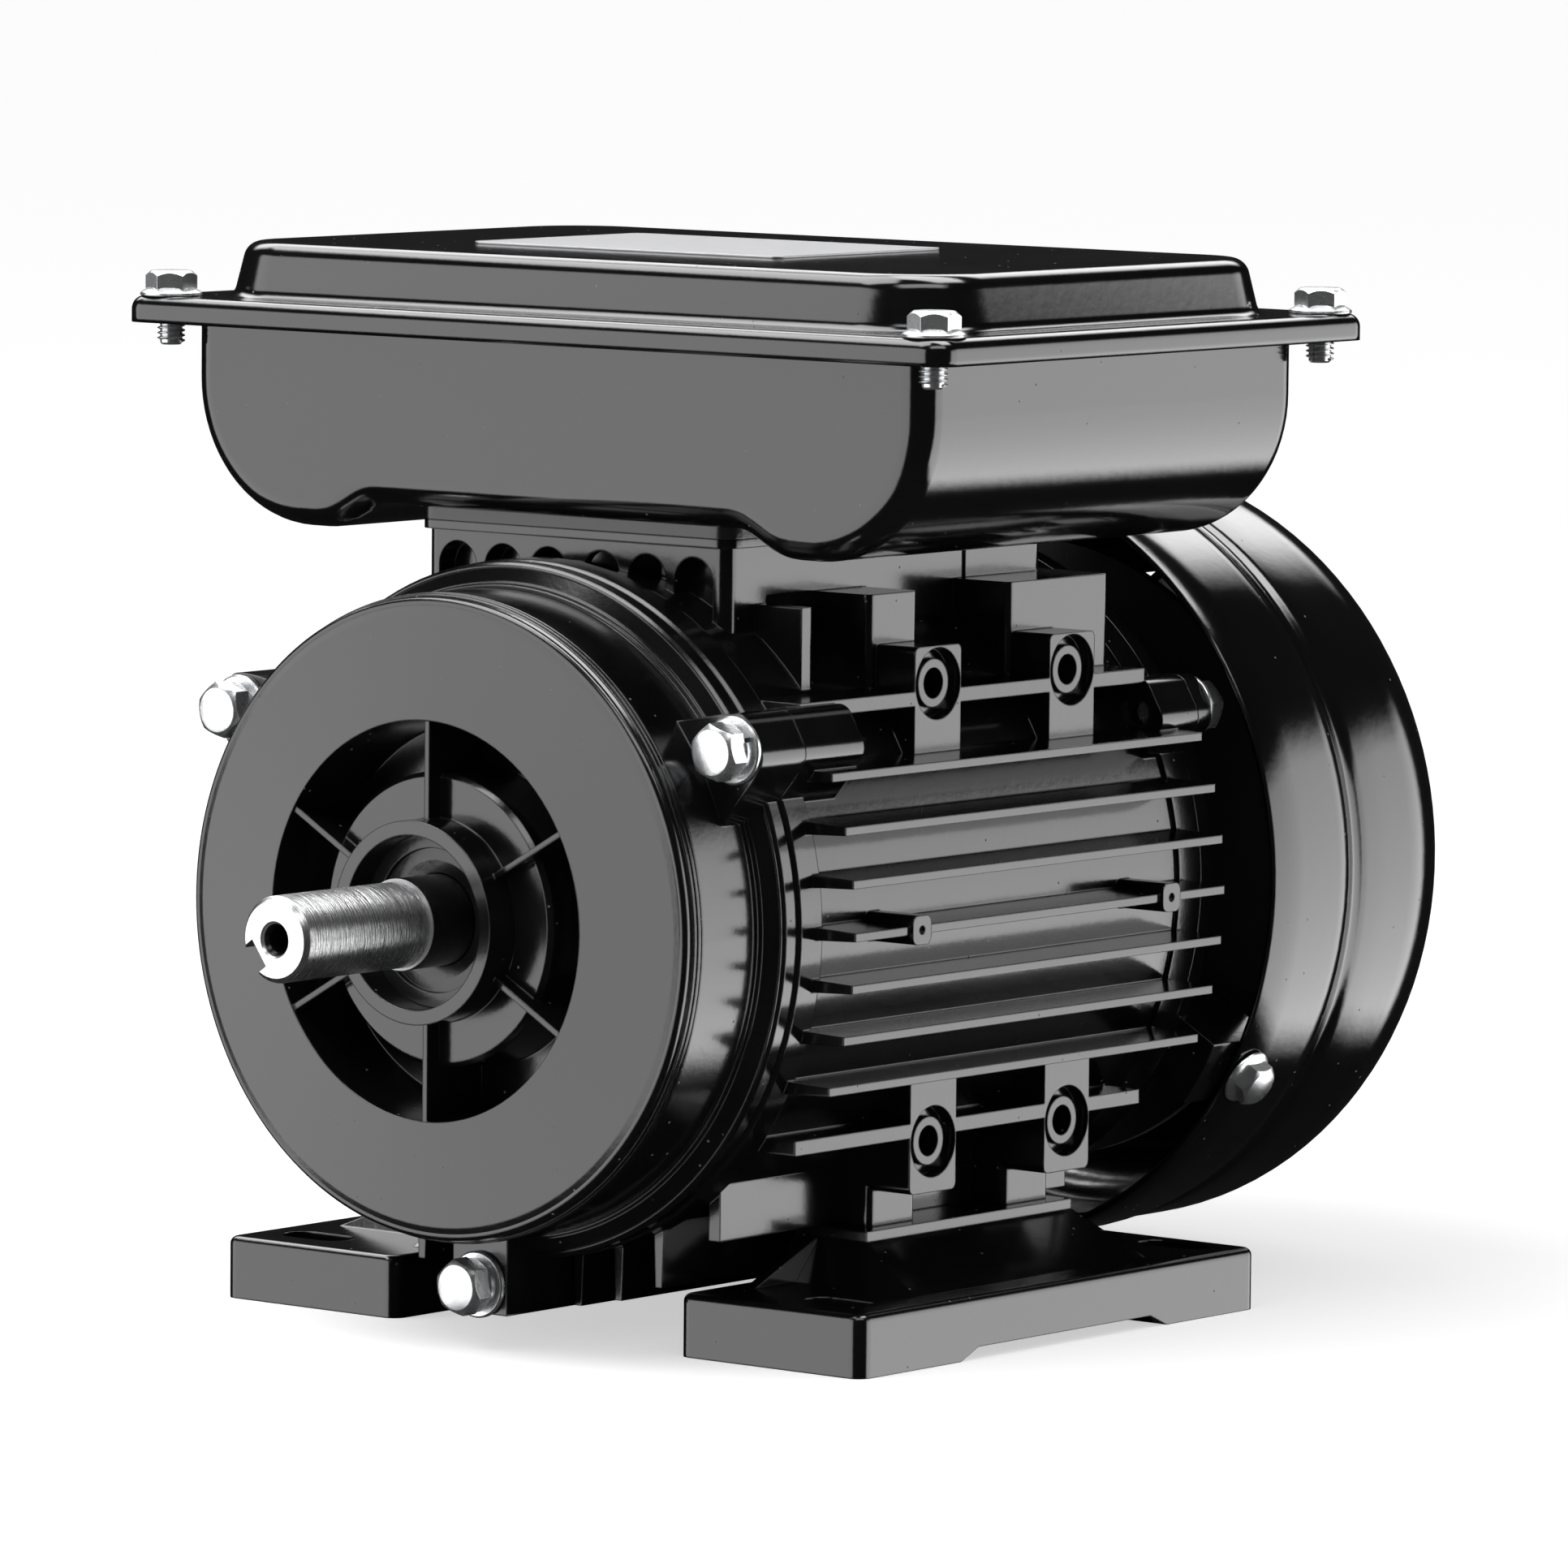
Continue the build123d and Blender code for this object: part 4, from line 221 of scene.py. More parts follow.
@dataclass(frozen=True)
class Finish:
    """One finish and the way its material is built."""

    name: str
    colour: tuple[float, float, float]
    shade: tuple[float, float, float]
    grain: Grain
    roughness: float
    metallic: float = 0.0
    index: float = 1.5
    edge: float = 0.0
    relief: float = 0.1
    dust: float = 0.0

    def material(self) -> bpy.types.Material:
        """Build the material, or return it if it is there already.

        Returns:
            The material.
        """
        title = self.name + "_finish"
        known = bpy.data.materials.get(title)
        if known:
            return known
        made = bpy.data.materials.new(title)
        made.use_nodes = True
        graph = Graph(made.node_tree)
        height, tint, rough = self._pattern(graph)
        base = graph.blend(tint, (*self.colour, 1.0), (*self.shade, 1.0))
        metal = self.metallic
        if self.dust:
            specks = graph.specks(graph.position(), DUST_SCALE, DUST_SIZE)
            base = graph.blend(specks, base, (self.dust, self.dust, self.dust, 1.0))
            rough = rough + (DUST_ROUGHNESS - rough) * specks
        # On the shaft: black behind the shoulder, and painted shade in the centre hole, from one mask
        if self.grain is Grain.GROUND:
            cover = self._black_and_hole_shade(graph)
            base = graph.blend(cover, base, (*SHAFT_BLACK_AND_HOLE_SHADE, 1.0))
            rough = rough + (SHAFT_BLACK_AND_HOLE_SHADE_ROUGHNESS - rough) * cover
            metal = (1.0 - cover) * self.metallic
        sockets = {"Base Color": base, "Roughness": rough, "Metallic": metal, "IOR": self.index}
        bump = {"Height": height, "Strength": self.relief, "Distance": RELIEF_DEPTH}
        if self.edge:
            bump["Normal"] = graph.node("ShaderNodeBevel", {"samples": EDGE_SAMPLES}, {"Radius": self.edge * MM})
        sockets["Normal"] = graph.node("ShaderNodeBump", {}, bump)
        surface = graph.node("ShaderNodeBsdfPrincipled", {}, sockets)
        graph.node("ShaderNodeOutputMaterial", {}, {"Surface": surface})
        return made

    def _black_and_hole_shade(self, graph: Graph) -> Value:
        """Share of the shaft's surface that is black: behind the shoulder, and in the centre hole as painted
        shade.

        Args:
            graph: the tree to build in.

        Returns:
            The share, from 0 to 1.
        """
        place = graph.position()
        x, y, z = (graph.node("ShaderNodeSeparateXYZ", {}, {"Vector": place}, axis) for axis in "XYZ")
        lift = z - AXIS_HEIGHT * MM
        behind = y.step((SHOULDER_Y - 0.3) * MM, (SHOULDER_Y + 0.3) * MM)
        across = (x * x + lift * lift) ** 0.5
        # Painted shade in the centre hole, black inside its radius
        hole = 1.0 - across.step((CENTRE_HOLE_RADIUS - 0.4) * MM, CENTRE_HOLE_RADIUS * MM)
        return 1.0 - (1.0 - behind) * (1.0 - hole)

    def _pattern(self, graph: Graph) -> tuple[Value, Value, Value]:
        """Height, share of the shade colour and roughness of the grain.

        Args:
            graph: the tree to build in.

        Returns:
            The three values.
        """
        place = graph.position()
        soft = graph.noise(place, 45.0)
        fine = graph.noise(place, 900.0, 2.0)
        if self.grain is Grain.SPRAYED:
            dust = graph.specks(place, 160.0, 0.035)
            height = graph.noise(place, 420.0, 2.0) + dust * 2.0
            tint = soft.step(0.3, 0.8) * 0.6 + dust * 0.4
            return height, tint, soft * 0.05 + fine * 0.03 + (self.roughness - 0.03)
        if self.grain is Grain.CAST:
            dust = graph.specks(place, 220.0, 0.05)
            pits = graph.noise(place, 1400.0, 4.0)
            height = graph.noise(place, 300.0, 3.0) * 0.8 + pits * 0.3 + dust * 1.6
            tint = soft.step(0.35, 0.75) * 0.5 + dust * 0.5
            return height, tint, soft * 0.08 + pits * 0.06 + (self.roughness - 0.06)
        if self.grain in (Grain.TURNED, Grain.GROUND):
            rings = graph.noise(graph.position((0.04, 1.0, 0.04)), 3400.0, 4.0)
            return rings, rings * 0.6 + soft * 0.3, rings * 0.16 + (self.roughness - 0.08)
        if self.grain is Grain.ROLLED:
            lines = graph.noise(graph.position((0.03, 1.0, 1.0)), 2400.0, 2.0)
            return lines, lines * 0.7, lines * 0.14 + (self.roughness - 0.07)
        if self.grain is Grain.STACKED:
            along = graph.node("ShaderNodeSeparateXYZ", {}, {"Vector": place}, "Y")
            sheets = (along * (2.0 * math.pi / (0.5 * MM))).sine() * 0.5 + 0.5
            return sheets, sheets * 0.6 + soft * 0.3, soft * 0.1 + self.roughness
        if self.grain is Grain.WOUND:
            wave = graph.node("ShaderNodeTexWave", {"wave_type": "RINGS", "rings_direction": "Y"},
                              {"Vector": place, "Scale": 190.0, "Distortion": 2.0, "Detail": 1.0})
            return wave, wave * 0.5 + soft * 0.3, fine * 0.1 + self.roughness
        if self.grain is Grain.PLATED:
            stains = graph.noise(place, 260.0, 4.0)
            return fine, stains.step(0.45, 0.7) * 0.7, stains * 0.14 + (self.roughness - 0.07)
        return fine, soft * 0.6, fine * 0.12 + (self.roughness - 0.06)


SHEET_ENAMEL = Finish("sheet_enamel", (0.005, 0.005, 0.0055), (0.009, 0.009, 0.0095), Grain.SPRAYED, 0.10,
                      index=1.72, edge=0.5, relief=0.05, dust=0.20)
CAST_ENAMEL = Finish("cast_enamel", (0.004, 0.004, 0.0045), (0.009, 0.009, 0.0095), Grain.CAST, 0.14,
                     index=1.72, edge=0.45, relief=0.09, dust=0.16)
BRIGHT_ZINC = Finish("bright_zinc", (0.78, 0.79, 0.80), (0.58, 0.59, 0.61), Grain.PLATED, 0.28,
                     metallic=0.88, edge=0.15)
GROUND_STEEL = Finish("ground_steel", (0.84, 0.84, 0.85), (0.66, 0.66, 0.67), Grain.GROUND, 0.27,
                      metallic=0.96, edge=0.2, relief=0.5)
BEARING_STEEL = Finish("bearing_steel", (0.68, 0.69, 0.70), (0.55, 0.55, 0.57), Grain.TURNED, 0.14, metallic=1.0,
                       relief=0.05)
CORE_STEEL = Finish("core_steel", (0.30, 0.30, 0.32), (0.14, 0.13, 0.13), Grain.STACKED, 0.38, metallic=1.0)
SPRING_STEEL = Finish("spring_steel", (0.42, 0.43, 0.45), (0.28, 0.28, 0.30), Grain.ROLLED, 0.30, metallic=1.0)
BARE_PLATE = Finish("bare_plate", (0.56, 0.56, 0.57), (0.36, 0.36, 0.37), Grain.ROLLED, 0.34,
                    metallic=1.0, edge=0.4)
CAST_ALUMINIUM = Finish("cast_aluminium", (0.60, 0.61, 0.62), (0.44, 0.44, 0.46), Grain.MOULDED, 0.42,
                        metallic=1.0, relief=0.4)
BRASS = Finish("bright_brass", (0.76, 0.56, 0.25), (0.52, 0.36, 0.14), Grain.PLATED, 0.24, metallic=1.0)
VARNISHED_WIRE = Finish("varnished_wire", (0.36, 0.12, 0.04), (0.16, 0.05, 0.02), Grain.WOUND, 0.28, relief=0.6)
SEAL_RUBBER = Finish("seal_rubber", (0.014, 0.014, 0.015), (0.022, 0.022, 0.023), Grain.MOULDED, 0.22,
                     index=1.6, edge=0.3, relief=0.1)
BLACK_PLASTIC = Finish("black_plastic", (0.022, 0.022, 0.024), (0.034, 0.034, 0.036), Grain.MOULDED, 0.42,
                       edge=0.2, relief=0.25)
BROWN_PHENOLIC = Finish("brown_phenolic", (0.13, 0.055, 0.025), (0.07, 0.03, 0.015), Grain.MOULDED, 0.38,
                        relief=0.2)
WHITE_CAN = Finish("white_can", (0.78, 0.78, 0.75), (0.70, 0.70, 0.67), Grain.MOULDED, 0.36, relief=0.1)
BLACK_CAN = Finish("black_can", (0.03, 0.03, 0.032), (0.045, 0.045, 0.047), Grain.MOULDED, 0.36, relief=0.1)

NODE_FINISHES: dict[Finish, tuple[str, ...]] = {
    SHEET_ENAMEL: ("terminal_box", "terminal_box_lid", "fan_cover"),
    CAST_ENAMEL: ("stator_housing", "front_end_shield", "rear_end_shield", "right_foot", "left_foot"),
    BRIGHT_ZINC: ("front_spring_washers", "front_washers", "rear_spring_washers", "rear_washers", "foot_washers",
                  "terminal_nuts", "governor", "upper_flyweight", "lower_flyweight"),
    GROUND_STEEL: ("shaft",),
    BEARING_STEEL: ("front_bearing_outer_ring", "front_bearing_inner_ring", "front_bearing_balls",
                    "rear_bearing_outer_ring", "rear_bearing_inner_ring", "rear_bearing_balls"),
    CORE_STEEL: ("stator_core", "rotor_core"),
    SPRING_STEEL: ("capacitor_clamps", "wave_washer", "fan_clip"),
    BARE_PLATE: ("rating_plate",),
    CAST_ALUMINIUM: ("rotor_cage",),
    BRASS: ("terminal_studs", "terminal_links", "switch_contacts"),
    VARNISHED_WIRE: ("stator_windings",),
    SEAL_RUBBER: ("box_gasket", "lid_gasket", "shaft_seal", "gland_seal"),
    BLACK_PLASTIC: ("gland_body", "gland_locknut", "gland_cap", "cooling_fan", "switch_collar",
                    "front_bearing_cage", "rear_bearing_cage"),
    BROWN_PHENOLIC: ("terminal_block", "switch_board"),
    WHITE_CAN: ("run_capacitor",),
    BLACK_CAN: ("start_capacitor",),
}


def dress_nodes() -> None:
    """Give every solid of the frame its finish."""
    for finish, names in NODE_FINISHES.items():
        for name in names:
            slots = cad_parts[name].data.materials
            slots.clear()
            slots.append(finish.material())
            LOG.info("%s dressed in %s", name, finish.name)


class Shape:
    """A mesh in the making, in millimetres, with the operators that the pieces use."""

    def __init__(self) -> None:
        """Start with an empty mesh."""
        self.mesh = bmesh.new()

    def lathe(self, profile: list[tuple[float, float]], sides: int = 48) -> list[bmesh.types.BMVert]:
        """Turn an open profile of (radius, height) about Z.

        Args:
            profile: corners of the outline, from the axis round to the axis.
            sides: number of steps round.

        Returns:
            The new vertices.
        """
        before = set(self.mesh.verts)
        corners = [self.mesh.verts.new((radius, 0.0, height)) for radius, height in profile]
        edges = [self.mesh.edges.new(pair) for pair in zip(corners, corners[1:])]
        bmesh.ops.spin(self.mesh, geom=corners + edges, cent=(0, 0, 0), axis=(0, 0, 1), dvec=(0, 0, 0),
                       angle=2 * math.pi, steps=sides, use_merge=True, use_duplicate=False)
        made = [v for v in self.mesh.verts if v not in before]
        bmesh.ops.remove_doubles(self.mesh, verts=made, dist=1e-4)
        return [v for v in self.mesh.verts if v not in before]

    def hexagon_head(self, flats: float, low: float, high: float, turn: float = 0.0, chamfer: float = 0.8) -> None:
        """Hexagon head with a chamfered face, made before anything else in the mesh.

        Args:
            flats: distance across the flats.
            low: height of the lower face.
            high: height of the upper face.
            turn: angle of the first flat, in degrees.
            chamfer: height lost at the corners.
        """
        corner = flats / math.sqrt(3) + 0.2
        face = flats * 0.44
        self.lathe([(0, low), (corner, low), (corner, high - chamfer * 1.3), (corner - 0.5, high - chamfer * 0.75),
                    (face + 0.2, high - 0.12), (face, high), (0, high)], 72)
        for k in range(6):
            angle = math.radians(turn + 60.0 * k)
            normal = Vector((math.cos(angle), math.sin(angle), 0.0))
            parts = self.mesh.verts[:] + self.mesh.edges[:] + self.mesh.faces[:]
            cut = bmesh.ops.bisect_plane(self.mesh, geom=parts, plane_co=normal * flats / 2, plane_no=normal,
                                         clear_outer=True, dist=1e-5)
            rim = [item for item in cut["geom_cut"] if isinstance(item, bmesh.types.BMEdge)]
            bmesh.ops.contextual_create(self.mesh, geom=rim)

    def thread(self, radius: float, pitch: float, low: float, high: float, sides: int = 20) -> None:
        """Core with a helical ridge between two heights.

        Args:
            radius: outer radius of the thread.
            pitch: rise in one turn.
            low: height of the thread's free end.
            high: height where it runs into the head.
            sides: steps in one turn.
        """
        depth = 0.6 * pitch
        core = radius - depth
        self.lathe([(0, low), (core - 0.3, low), (core, low + 0.35), (core, high), (0, high)], sides * 2)
        start = low + 0.2
        turns = max(1, int((high - start) / pitch) - 1)
        ridge = [(core - 0.15, start), (radius, start + pitch * 0.38), (radius, start + pitch * 0.5),
                 (core - 0.15, start + pitch * 0.88)]
        corners = [self.mesh.verts.new((r, 0.0, z)) for r, z in ridge]
        edges = [self.mesh.edges.new((corners[k], corners[(k + 1) % 4])) for k in range(4)]
        steps = turns * sides
        last = bmesh.ops.spin(self.mesh, geom=corners + edges, cent=(0, 0, 0), axis=(0, 0, 1),
                              dvec=(0, 0, pitch / sides), angle=2 * math.pi * turns, steps=steps,
                              use_merge=False, use_duplicate=False)["geom_last"]
        bmesh.ops.contextual_create(self.mesh, geom=edges)
        bmesh.ops.contextual_create(self.mesh, geom=[g for g in last if isinstance(g, bmesh.types.BMEdge)])

    def skin(self, rings: list[list[tuple[float, float, float]]],
             opening: Callable[[int, int], bool] | None = None) -> None:
        """Surface through closed rings of equal length, capped at the last ring.

        Args:
            rings: points of each ring, in millimetres.
            opening: tells for a band and a column whether the face is left out.
        """
        rows = [[self.mesh.verts.new(point) for point in ring] for ring in rings]
        columns = len(rings[0])
        for band, (lower, upper) in enumerate(zip(rows, rows[1:])):
            for k in range(columns):
                if opening is None or not opening(band, k):
                    after = (k + 1) % columns
                    self.mesh.faces.new((lower[k], lower[after], upper[after], upper[k]))
        cap = self.mesh.faces.new(rows[-1])
        bmesh.ops.recalc_face_normals(self.mesh, faces=self.mesh.faces[:])
        if cap.normal.dot(Vector(rings[-1][0]) - Vector(rings[0][0])) < 0:
            bmesh.ops.reverse_faces(self.mesh, faces=self.mesh.faces[:])

    def copies(self, places: list[Matrix]) -> None:
        """Replace the mesh by copies of it at each place."""
        source = bpy.data.meshes.new("copy")
        self.mesh.to_mesh(source)
        self.mesh.clear()
        for place in places:
            before = set(self.mesh.verts)
            self.mesh.from_mesh(source)
            added = [v for v in self.mesh.verts if v not in before]
            bmesh.ops.transform(self.mesh, matrix=place, verts=added)
        bpy.data.meshes.remove(source)

    def piece(self, name: str, finish: Finish, smooth: float = 35.0, closed: bool = True) -> bpy.types.Object:
        """Turn the mesh into a piece in metres.

        Args:
            name: name of the piece.
            finish: its finish.
            smooth: largest angle, in degrees, that is shaded smooth.
            closed: whether the faces enclose a body, so that their outer side is known.

        Returns:
            The new object.
        """
        if closed:
            bmesh.ops.recalc_face_normals(self.mesh, faces=self.mesh.faces[:])
        bmesh.ops.scale(self.mesh, vec=(MM, MM, MM), verts=self.mesh.verts[:])
        data = bpy.data.meshes.new(name)
        self.mesh.to_mesh(data)
        self.mesh.free()
        data.shade_smooth()
        data.set_sharp_from_angle(angle=math.radians(smooth))
        data.materials.append(finish.material())
        made = bpy.data.objects.new(name, data)
        bpy.context.scene.collection.objects.link(made)
        return made


def round_shaft(radius: float, y: float, angle: float, outward: float) -> Matrix:
    """Place of a bolt beside the shaft, with its head towards outward along Y.

    Args:
        radius: distance from the shaft's axis.
        y: depth of the bolt's seat.
        angle: angle about the shaft, from +X towards +Z, in degrees.
        outward: -1 if the head points to the front, 1 to the rear.

    Returns:
        The matrix from bolt space, with the seat at z = 0.
    """
    turn = math.radians(angle)
    place = Matrix.Translation((radius * math.cos(turn), y, AXIS_HEIGHT + radius * math.sin(turn)))
    return place @ Matrix.Rotation(-outward * math.pi / 2, 4, "X")


def towards_shaft(radius: float, y: float, angle: float) -> Matrix:
    """Place of a screw that is driven towards the shaft.

    Args:
        radius: distance of the seat from the shaft's axis.
        y: depth of the screw.
        angle: angle about the shaft, from +X towards +Z, in degrees.

    Returns:
        The matrix from screw space, with the seat at z = 0.
    """
    lift = Matrix.Translation((0.0, y, AXIS_HEIGHT))
    swing = Matrix.Rotation(-math.radians(angle), 4, "Y")
    return lift @ swing @ Matrix.Translation((radius, 0, 0)) @ Matrix.Rotation(math.pi / 2, 4, "Y")


@dataclass
class HexBolts:
    """A set of equal hexagon bolts that stands for one node."""

    node: str
    places: list[Matrix]
    flats: float
    head: float
    diameter: float
    pitch: float
    length: float
    turn: float = 0.0
    flange: float = 0.0
    flange_height: float = 0.0
    body: str = "motor_frame"

    def build(self) -> bpy.types.Object:
        """Make the bolts and let them stand for their node.

        Returns:
            The new piece.
        """
        shape = Shape()
        base = self.flange_height
        shape.hexagon_head(self.flats, base, base + self.head, self.turn)
        shape.thread(self.diameter / 2, self.pitch, -self.length, 0.1)
        if self.flange:
            rim = self.flange / 2
            shape.lathe([(0, 0), (rim - 0.15, 0), (rim, 0.2), (rim - 0.1, 0.55),
                         (self.flats / 2 + 0.1, base + 0.15), (0, base + 0.15)])
        shape.copies(self.places)
        made = shape.piece(self.node + "_detailed", BRIGHT_ZINC)
        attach(made, self.body)
        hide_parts(self.node)
        LOG.info("%s: %d bolts", made.name, len(self.places))
        return made


def make_fasteners() -> None:
    """All hexagon bolts and screws that show."""
    HexBolts("front_shield_bolts", [round_shaft(FRONT_TIE_RADIUS, FRONT_TIE_Y, a, -1) for a in TIE_ANGLES],
             flats=8.2, head=3.9, diameter=5.0, pitch=0.8, length=22.0, turn=12.0).build()
    HexBolts("rear_shield_bolts", [round_shaft(REAR_TIE_RADIUS, REAR_TIE_Y, a, 1) for a in TIE_ANGLES],
             flats=8.0, head=3.5, diameter=5.0, pitch=0.8, length=13.0, turn=20.0).build()
    lid_places = [Matrix.Translation((x, y, 167.8)) for x in (-80.9, 80.9) for y in (-55.1, 48.6)]
    HexBolts("lid_bolts", lid_places, flats=7.5, head=3.0, diameter=4.7, pitch=0.85, length=8.2,
             turn=8.0, flange=10.5, flange_height=1.2).build()
    HexBolts("fan_cover_screws", [towards_shaft(66.9, 61.8, a) for a in COVER_SCREW_ANGLES],
             flats=7.0, head=2.6, diameter=4.0, pitch=0.7, length=9.0, turn=5.0, flange=9.8,
             flange_height=1.2).build()
    foot_places = [Matrix.Translation((x, y, 8.2)) @ Matrix.Rotation(math.pi, 4, "X")
                   for x in (-37.6, 37.6) for y in (-16.0, 20.0)]
    HexBolts("foot_bolts", foot_places, flats=10.0, head=4.0, diameter=4.8, pitch=1.0, length=20.8).build()
    screw_places = [Matrix.Translation((x, y, 136.0)) for x in (-22.0, 22.0) for y in (-37.0, 31.0)]
    HexBolts("box_screws", screw_places, flats=8.0, head=3.2, diameter=5.0, pitch=0.8, length=12.0).build()
    HexBolts("earth_screw", [Matrix.Translation((10.0, 30.0, 136.0))], flats=6.2, head=2.3, diameter=3.0,
             pitch=0.6, length=1.0, flange=9.8, flange_height=1.1).build()


def make_washers(node: str, seat_y: float, radius: float, outward: float) -> None:
    """Flat washers with rounded rims under the bolts of one end shield.

    Args:
        node: the node that they stand for.
        seat_y: depth of the lug's face.
        radius: distance of the bolts from the shaft's axis.
        outward: -1 in front, 1 at the rear.
    """
    shape = Shape()
    shape.lathe(WASHER_SECTION)
    shape.copies([round_shaft(radius, seat_y, angle, outward) for angle in TIE_ANGLES])
    made = shape.piece(node + "_rounded", BRIGHT_ZINC)
    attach(made, "motor_frame")
    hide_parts(node)
    LOG.info("%s: %d washers", made.name, len(TIE_ANGLES))


def make_neck_ridges() -> None:
    """Rounded rim of the front end shield and the fine ridges that the lathe left on its neck."""
    shape = Shape()
    for radius, y, thickness in NECK_RIDGES:
        shape.lathe(arc((radius, -y), thickness, 0.0, 360.0, 16), 180)
    shape.copies([Matrix.Translation((0.0, 0.0, AXIS_HEIGHT)) @ Matrix.Rotation(math.pi / 2, 4, "X")])
    made = shape.piece("neck_ridges", CAST_ENAMEL, 80.0)
    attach(made, "motor_frame")
    LOG.info("%s: %d ridges", made.name, len(NECK_RIDGES))


def arc(middle: tuple[float, float], radius: float, start: float, end: float,
        steps: int) -> list[tuple[float, float]]:
    """Points on an arc in a plane, from the start angle to the end angle, in degrees."""
    turns = [math.radians(start + (end - start) * k / steps) for k in range(steps + 1)]
    return [(middle[0] + radius * math.cos(t), middle[1] + radius * math.sin(t)) for t in turns]


@dataclass(frozen=True)
class PressedLid:
    """The terminal box's lid, drawn from sheet, with rounded bends."""

    half_x: float = 86.9
    half_y: float = 57.85
    middle_y: float = -3.25
    corner: float = 4.5
    skirt_z: float = 163.4
    flange_z: float = 167.8
    top_z: float = 177.0
    sheet: float = 1.2
    edge: float = 2.2
    base_inset: float = 8.7
    base_bend: float = 2.0
    base_corner: float = 16.0
    slope: float = 76.0
    top_bend: float = 3.2

    def _outline(self) -> list[tuple[float, float]]:
        """Inset from the edge and height of each ring, from the skirt to the top."""
        tilt = math.radians(self.slope)
        across, up = math.cos(tilt), math.sin(tilt)
        base_reach = self.base_bend * math.tan(tilt / 2)
        top_reach = self.top_bend * math.tan(tilt / 2)
        crest = self.base_inset + (self.top_z - self.flange_z) * across / up
        start = self.base_inset - base_reach
        rings = [(0.0, self.skirt_z), (0.0, self.skirt_z + 1.0)]
        rings += arc((self.edge, self.flange_z - self.edge), self.edge, 180.0, 90.0, 8)
        rings += [(self.edge + 0.5, self.flange_z), (start - 0.5, self.flange_z)]
        rings += arc((start, self.flange_z + self.base_bend), self.base_bend, -90.0, self.slope - 90.0, 8)
        rings += arc((crest + top_reach, self.top_z - self.top_bend), self.top_bend, self.slope + 90.0, 90.0, 12)
        return rings + [(crest + top_reach + 0.6, self.top_z)]

    def _ring(self, inset: float, z: float) -> list[tuple[float, float, float]]:
        """Rounded rectangle at one inset and height."""
        flat = (self.edge + self.base_inset) / 2
        radius = self.corner - inset if inset < flat else self.base_corner + self.base_inset - inset
        radius = max(radius, 0.8)
        points = []
        for quarter, (sx, sy) in enumerate(((1, 1), (-1, 1), (-1, -1), (1, -1))):
            middle = (sx * (self.half_x - inset - radius), self.middle_y + sy * (self.half_y - inset - radius))
            points += [(x, y, z) for x, y in arc(middle, radius, 90.0 * quarter, 90.0 * quarter + 90.0, 12)]
        return points

    def build(self) -> bpy.types.Object:
        """Make the lid and let it stand for its node.

        Returns:
            The new piece.
        """
        shape = Shape()
        shape.skin([self._ring(inset, z) for inset, z in self._outline()])
        made = shape.piece("terminal_box_lid_pressed", SHEET_ENAMEL, 40.0, closed=False)
        add_sheet(made, self.sheet)
        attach(made, "motor_frame")
        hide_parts("terminal_box_lid")
        LOG.info("%s: pressed from %.1f mm sheet", made.name, self.sheet)
        return made


@dataclass(frozen=True)
class FanCover:
    """The pressed cover round the fan, with its groove and its grille."""

    radius: float = 66.6
    front_y: float = 57.5
    rear_y: float = 121.0
    bulge: float = 65.9
    corner: float = 23.5
    sheet: float = 1.2
    groove: tuple[tuple[float, float], ...] = (
        (76.0, 66.6), (77.4, 66.52), (78.6, 66.3), (79.8, 65.92), (81.0, 65.5), (82.0, 65.2),
        (82.7, 65.15), (83.3, 65.3), (83.9, 65.58), (84.5, 65.8), (85.3, 65.9))
    slots: tuple[float, ...] = (41.0, 32.0, 23.0, 14.0)
    slot_width: float = 4.6
    spokes: int = 6
    spoke_width: float = 4.0
    steps: int = 18

    def _outline(self) -> tuple[list[tuple[float, float]], set[int]]:
        """Radius and depth of each ring, and the bands that are slots."""
        rings = [(self.radius - 0.35, self.front_y), (self.radius, self.front_y + 0.5), (self.radius, 66.0)]
        rings += [(r, y) for y, r in self.groove]
        middle_y = self.rear_y - self.corner
        middle_r = self.bulge - self.corner
        rings += [(self.bulge, 91.0)] + arc((middle_r, middle_y), self.corner, 0.0, 78.0, 20)
        slots = set()
        for low in self.slots:
            for r in (low + self.slot_width, low):
                fall = max(0.0, r - middle_r)
                rings.append((r, middle_y + math.sqrt(self.corner ** 2 - fall ** 2)))
            slots.add(len(rings) - 2)
        return rings + [(8.0, self.rear_y), (4.0, self.rear_y)], slots

    def _ring(self, radius: float, y: float) -> list[tuple[float, float, float]]:
        """Points of one ring, gathered so that columns follow the spokes' sides."""
        pitch = 2 * math.pi / self.spokes
        side = math.asin(min(0.9, self.spoke_width / 2 / radius))
        turns = [pitch * s + side + (pitch - 2 * side) * k / self.steps
                 for s in range(self.spokes) for k in range(self.steps + 1)]
        return [(radius * math.cos(t), y, AXIS_HEIGHT + radius * math.sin(t)) for t in turns]

    def build(self) -> bpy.types.Object:
        """Make the cover and let it stand for its node.

        Returns:
            The new piece.
        """
        rings, slots = self._outline()
        shape = Shape()
        shape.skin([self._ring(r, y) for r, y in rings],
                   lambda band, column: band in slots and column % (self.steps + 1) != self.steps)
        made = shape.piece("fan_cover_pressed", SHEET_ENAMEL, 40.0, closed=False)
        add_sheet(made, self.sheet)
        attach(made, "motor_frame")
        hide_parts("fan_cover")
        LOG.info("%s: %d slots between %d spokes", made.name, len(slots) * self.spokes, self.spokes)
        return made


def add_sheet(piece: bpy.types.Object, thickness: float) -> None:
    """Give a skin its sheet thickness, inwards."""
    sheet = piece.modifiers.new("sheet", "SOLIDIFY")
    sheet.thickness = thickness * MM
    sheet.offset = -1.0
    sheet.use_even_offset = True


